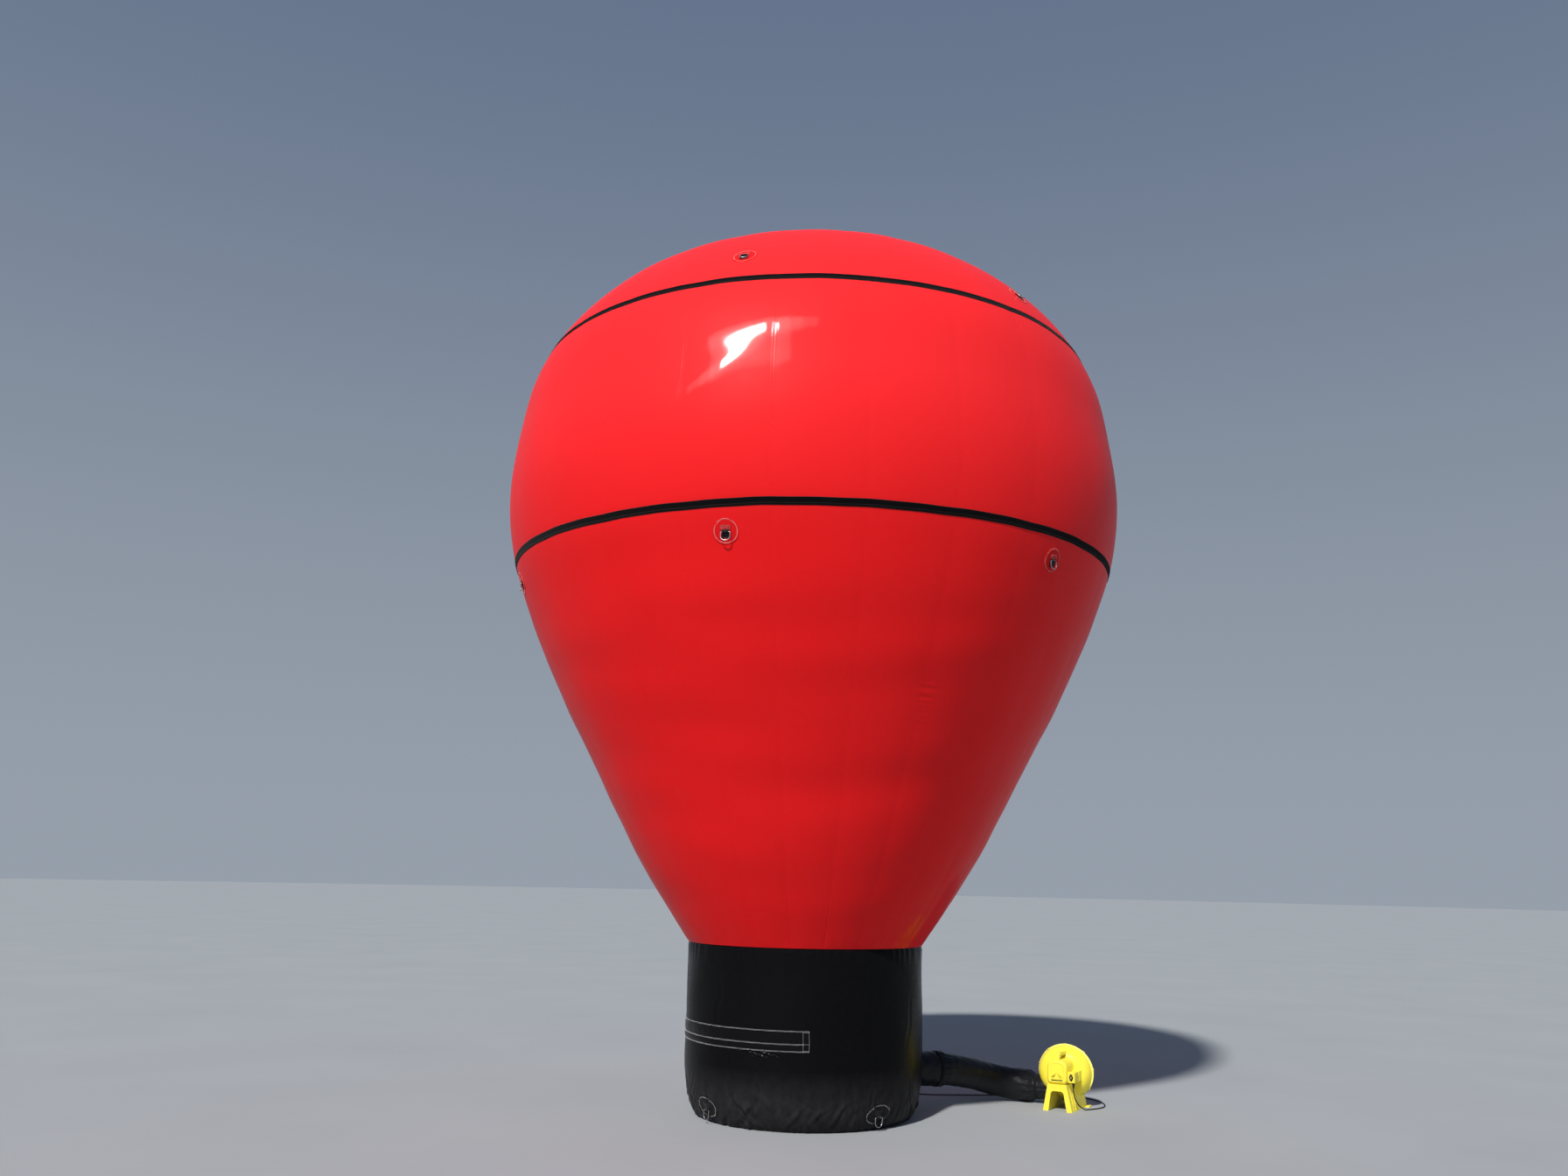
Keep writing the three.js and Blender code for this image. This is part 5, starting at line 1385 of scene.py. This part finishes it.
# the coil is held by a strap of hook tape
tie_at, tie_half = 232 * RAD, .0070
out_, across_ = np.array([math.cos(tie_at), math.sin(tie_at), 0]), np.array([-math.sin(tie_at), math.cos(tie_at), 0])
loop = np.array(rounded(.0306, .0678, .0003, .0190, .0050, .0085, 7))
tie_in = inset(loop, .0008)
rings = []
for (r0_, z0_), (r1_, z1_) in zip(loop, tie_in):
    rings.append([np.array((COIL_X, COIL_Y, 0)) + out_ * q + across_ * w_ + (0, 0, z_) for q, z_, w_ in ((r0_, z0_, -tie_half), (r0_, z0_, tie_half), (r1_, z1_, tie_half), (r1_, z1_, -tie_half))])
rings = np.array(rings)
m = len(rings)
last = quads(2, 4, wrap=True, flip=True)
last = np.where(last >= 4, last - 4, last + (m - 1) * 4)
loop_uv = np.stack([np.repeat(np.linspace(0, .11, m), 4), np.tile([-tie_half, tie_half, tie_half, -tie_half], m)], -1)
coil_tie = build("lead_coil_tie", [(rings.reshape(-1, 3), [quads(m, 4, wrap=True, flip=True), last], 0, loop_uv)], TAPE, sharp=50)

# ------------------------------------------------------------------ floor, lights, world
r = np.array([0, 3, 8, 20, 60, 140])
a = np.linspace(0, 2 * math.pi, 49)[:-1]
ground = np.concatenate([[[0, 0, 0]]] + [np.stack([q * np.cos(a), q * np.sin(a), np.zeros_like(a)], -1) for q in r[1:]])
gf = [fan(1 + np.arange(48), 0)]
gf.append(quads(5, 48, wrap=True, start=1)[:, ::-1])
floor_tree = Tree("floor_paint")
floor_tree.join(floor_tree.mix(floor_tree.ramp(floor_tree.noise(.6, 4, .5), .3, .7), (.330, .350, .368), (.312, .332, .350)), floor_tree.shader.inputs["Base Color"])
floor_tree.shader.inputs["Roughness"].default_value = .75
floor_tree.shader.inputs["Specular IOR Level"].default_value = .2
floor = build("floor", [(ground, gf, 0)], floor_tree.material, body=None)


def area_light(name, place, target, size_x, size_y, watts, colour, roll=0.0):
    data = bpy.data.lights.new(name, 'AREA')
    data.shape = 'RECTANGLE'
    data.size, data.size_y = size_x, size_y
    data.energy = watts
    data.color = colour
    obj = bpy.data.objects.new(name, data)
    scene.collection.objects.link(obj)
    z = (Vector(place) - Vector(target)).normalized()
    q = z.to_track_quat('Z', 'Y')
    obj.matrix_world = Matrix.Translation(place) @ q.to_matrix().to_4x4() @ Matrix.Rotation(roll, 4, 'Z')
    obj.visible_camera = False
    return obj


to_key = Vector((-.36, -.662, .658)).normalized()
to_sun = Vector((-.290, -.652, .701)).normalized()
sun_data = bpy.data.lights.new("key_sun", 'SUN')
sun_data.energy, sun_data.angle, sun_data.color = 4.74, 3.2 * RAD, (1.0, .965, .92)
sun = bpy.data.objects.new("key_sun", sun_data)
scene.collection.objects.link(sun)
sun.matrix_world = Matrix.Translation(to_sun * 20) @ to_sun.to_track_quat('Z', 'Y').to_matrix().to_4x4()
sun.visible_glossy = False
panel = area_light("key_panel", Vector((-.461, -2.288, 4.971)) + 26 * to_key, (-.461, -2.288, 4.971), 7.4, 1.25, 10400, (1.0, .98, .95), roll=.36)
panel.visible_diffuse = False
for wide_name, far, wide, high, watts in (("key_panel_wide", 27, 12.5, 4.2, 1150), ("key_panel_wider", 28, 17.5, 3.2, 1000), ("key_panel_widest", 29, 24.0, 2.2, 850)):
    haze = area_light(wide_name, Vector((-.461, -2.288, 4.971)) + far * to_key, (-.461, -2.288, 4.971), wide, high, watts, (1.0, .98, .95), roll=.36)
    haze.visible_diffuse = False
fill_data = bpy.data.lights.new("soft_fill", 'SPOT')
fill_data.energy, fill_data.color = 105, (1.0, .97, .95)
fill_data.spot_size, fill_data.spot_blend, fill_data.shadow_soft_size = 22 * RAD, 1.0, .5
fill = bpy.data.objects.new("soft_fill", fill_data)
scene.collection.objects.link(fill)
fill_at = Vector((4.9, -1.6, .75))
fill.matrix_world = Matrix.Translation(fill_at) @ (fill_at - Vector((2.12, .50, .22))).to_track_quat('Z', 'Y').to_matrix().to_4x4()
fill.visible_glossy = False
world = bpy.data.worlds.new("soft_sky")
world.use_nodes = True
scene.world = world
sky = world.node_tree
background = sky.nodes["Background"]
coords = sky.nodes.new("ShaderNodeTexCoord")
split = sky.nodes.new("ShaderNodeSeparateXYZ")
rise = sky.nodes.new("ShaderNodeMapRange")
rise.interpolation_type = 'SMOOTHSTEP'
rise.inputs["From Min"].default_value, rise.inputs["From Max"].default_value = -.02, .75
tint = sky.nodes.new("ShaderNodeMix")
tint.data_type = 'RGBA'
tint.inputs[6].default_value = (.40, .455, .53, 1)
tint.inputs[7].default_value = (.15, .21, .33, 1)
sky.links.new(coords.outputs["Generated"], split.inputs[0])
sky.links.new(split.outputs["Z"], rise.inputs["Value"])
sky.links.new(rise.outputs["Result"], tint.inputs[0])
sky.links.new(tint.outputs[2], background.inputs["Color"])
background.inputs["Strength"].default_value = .76
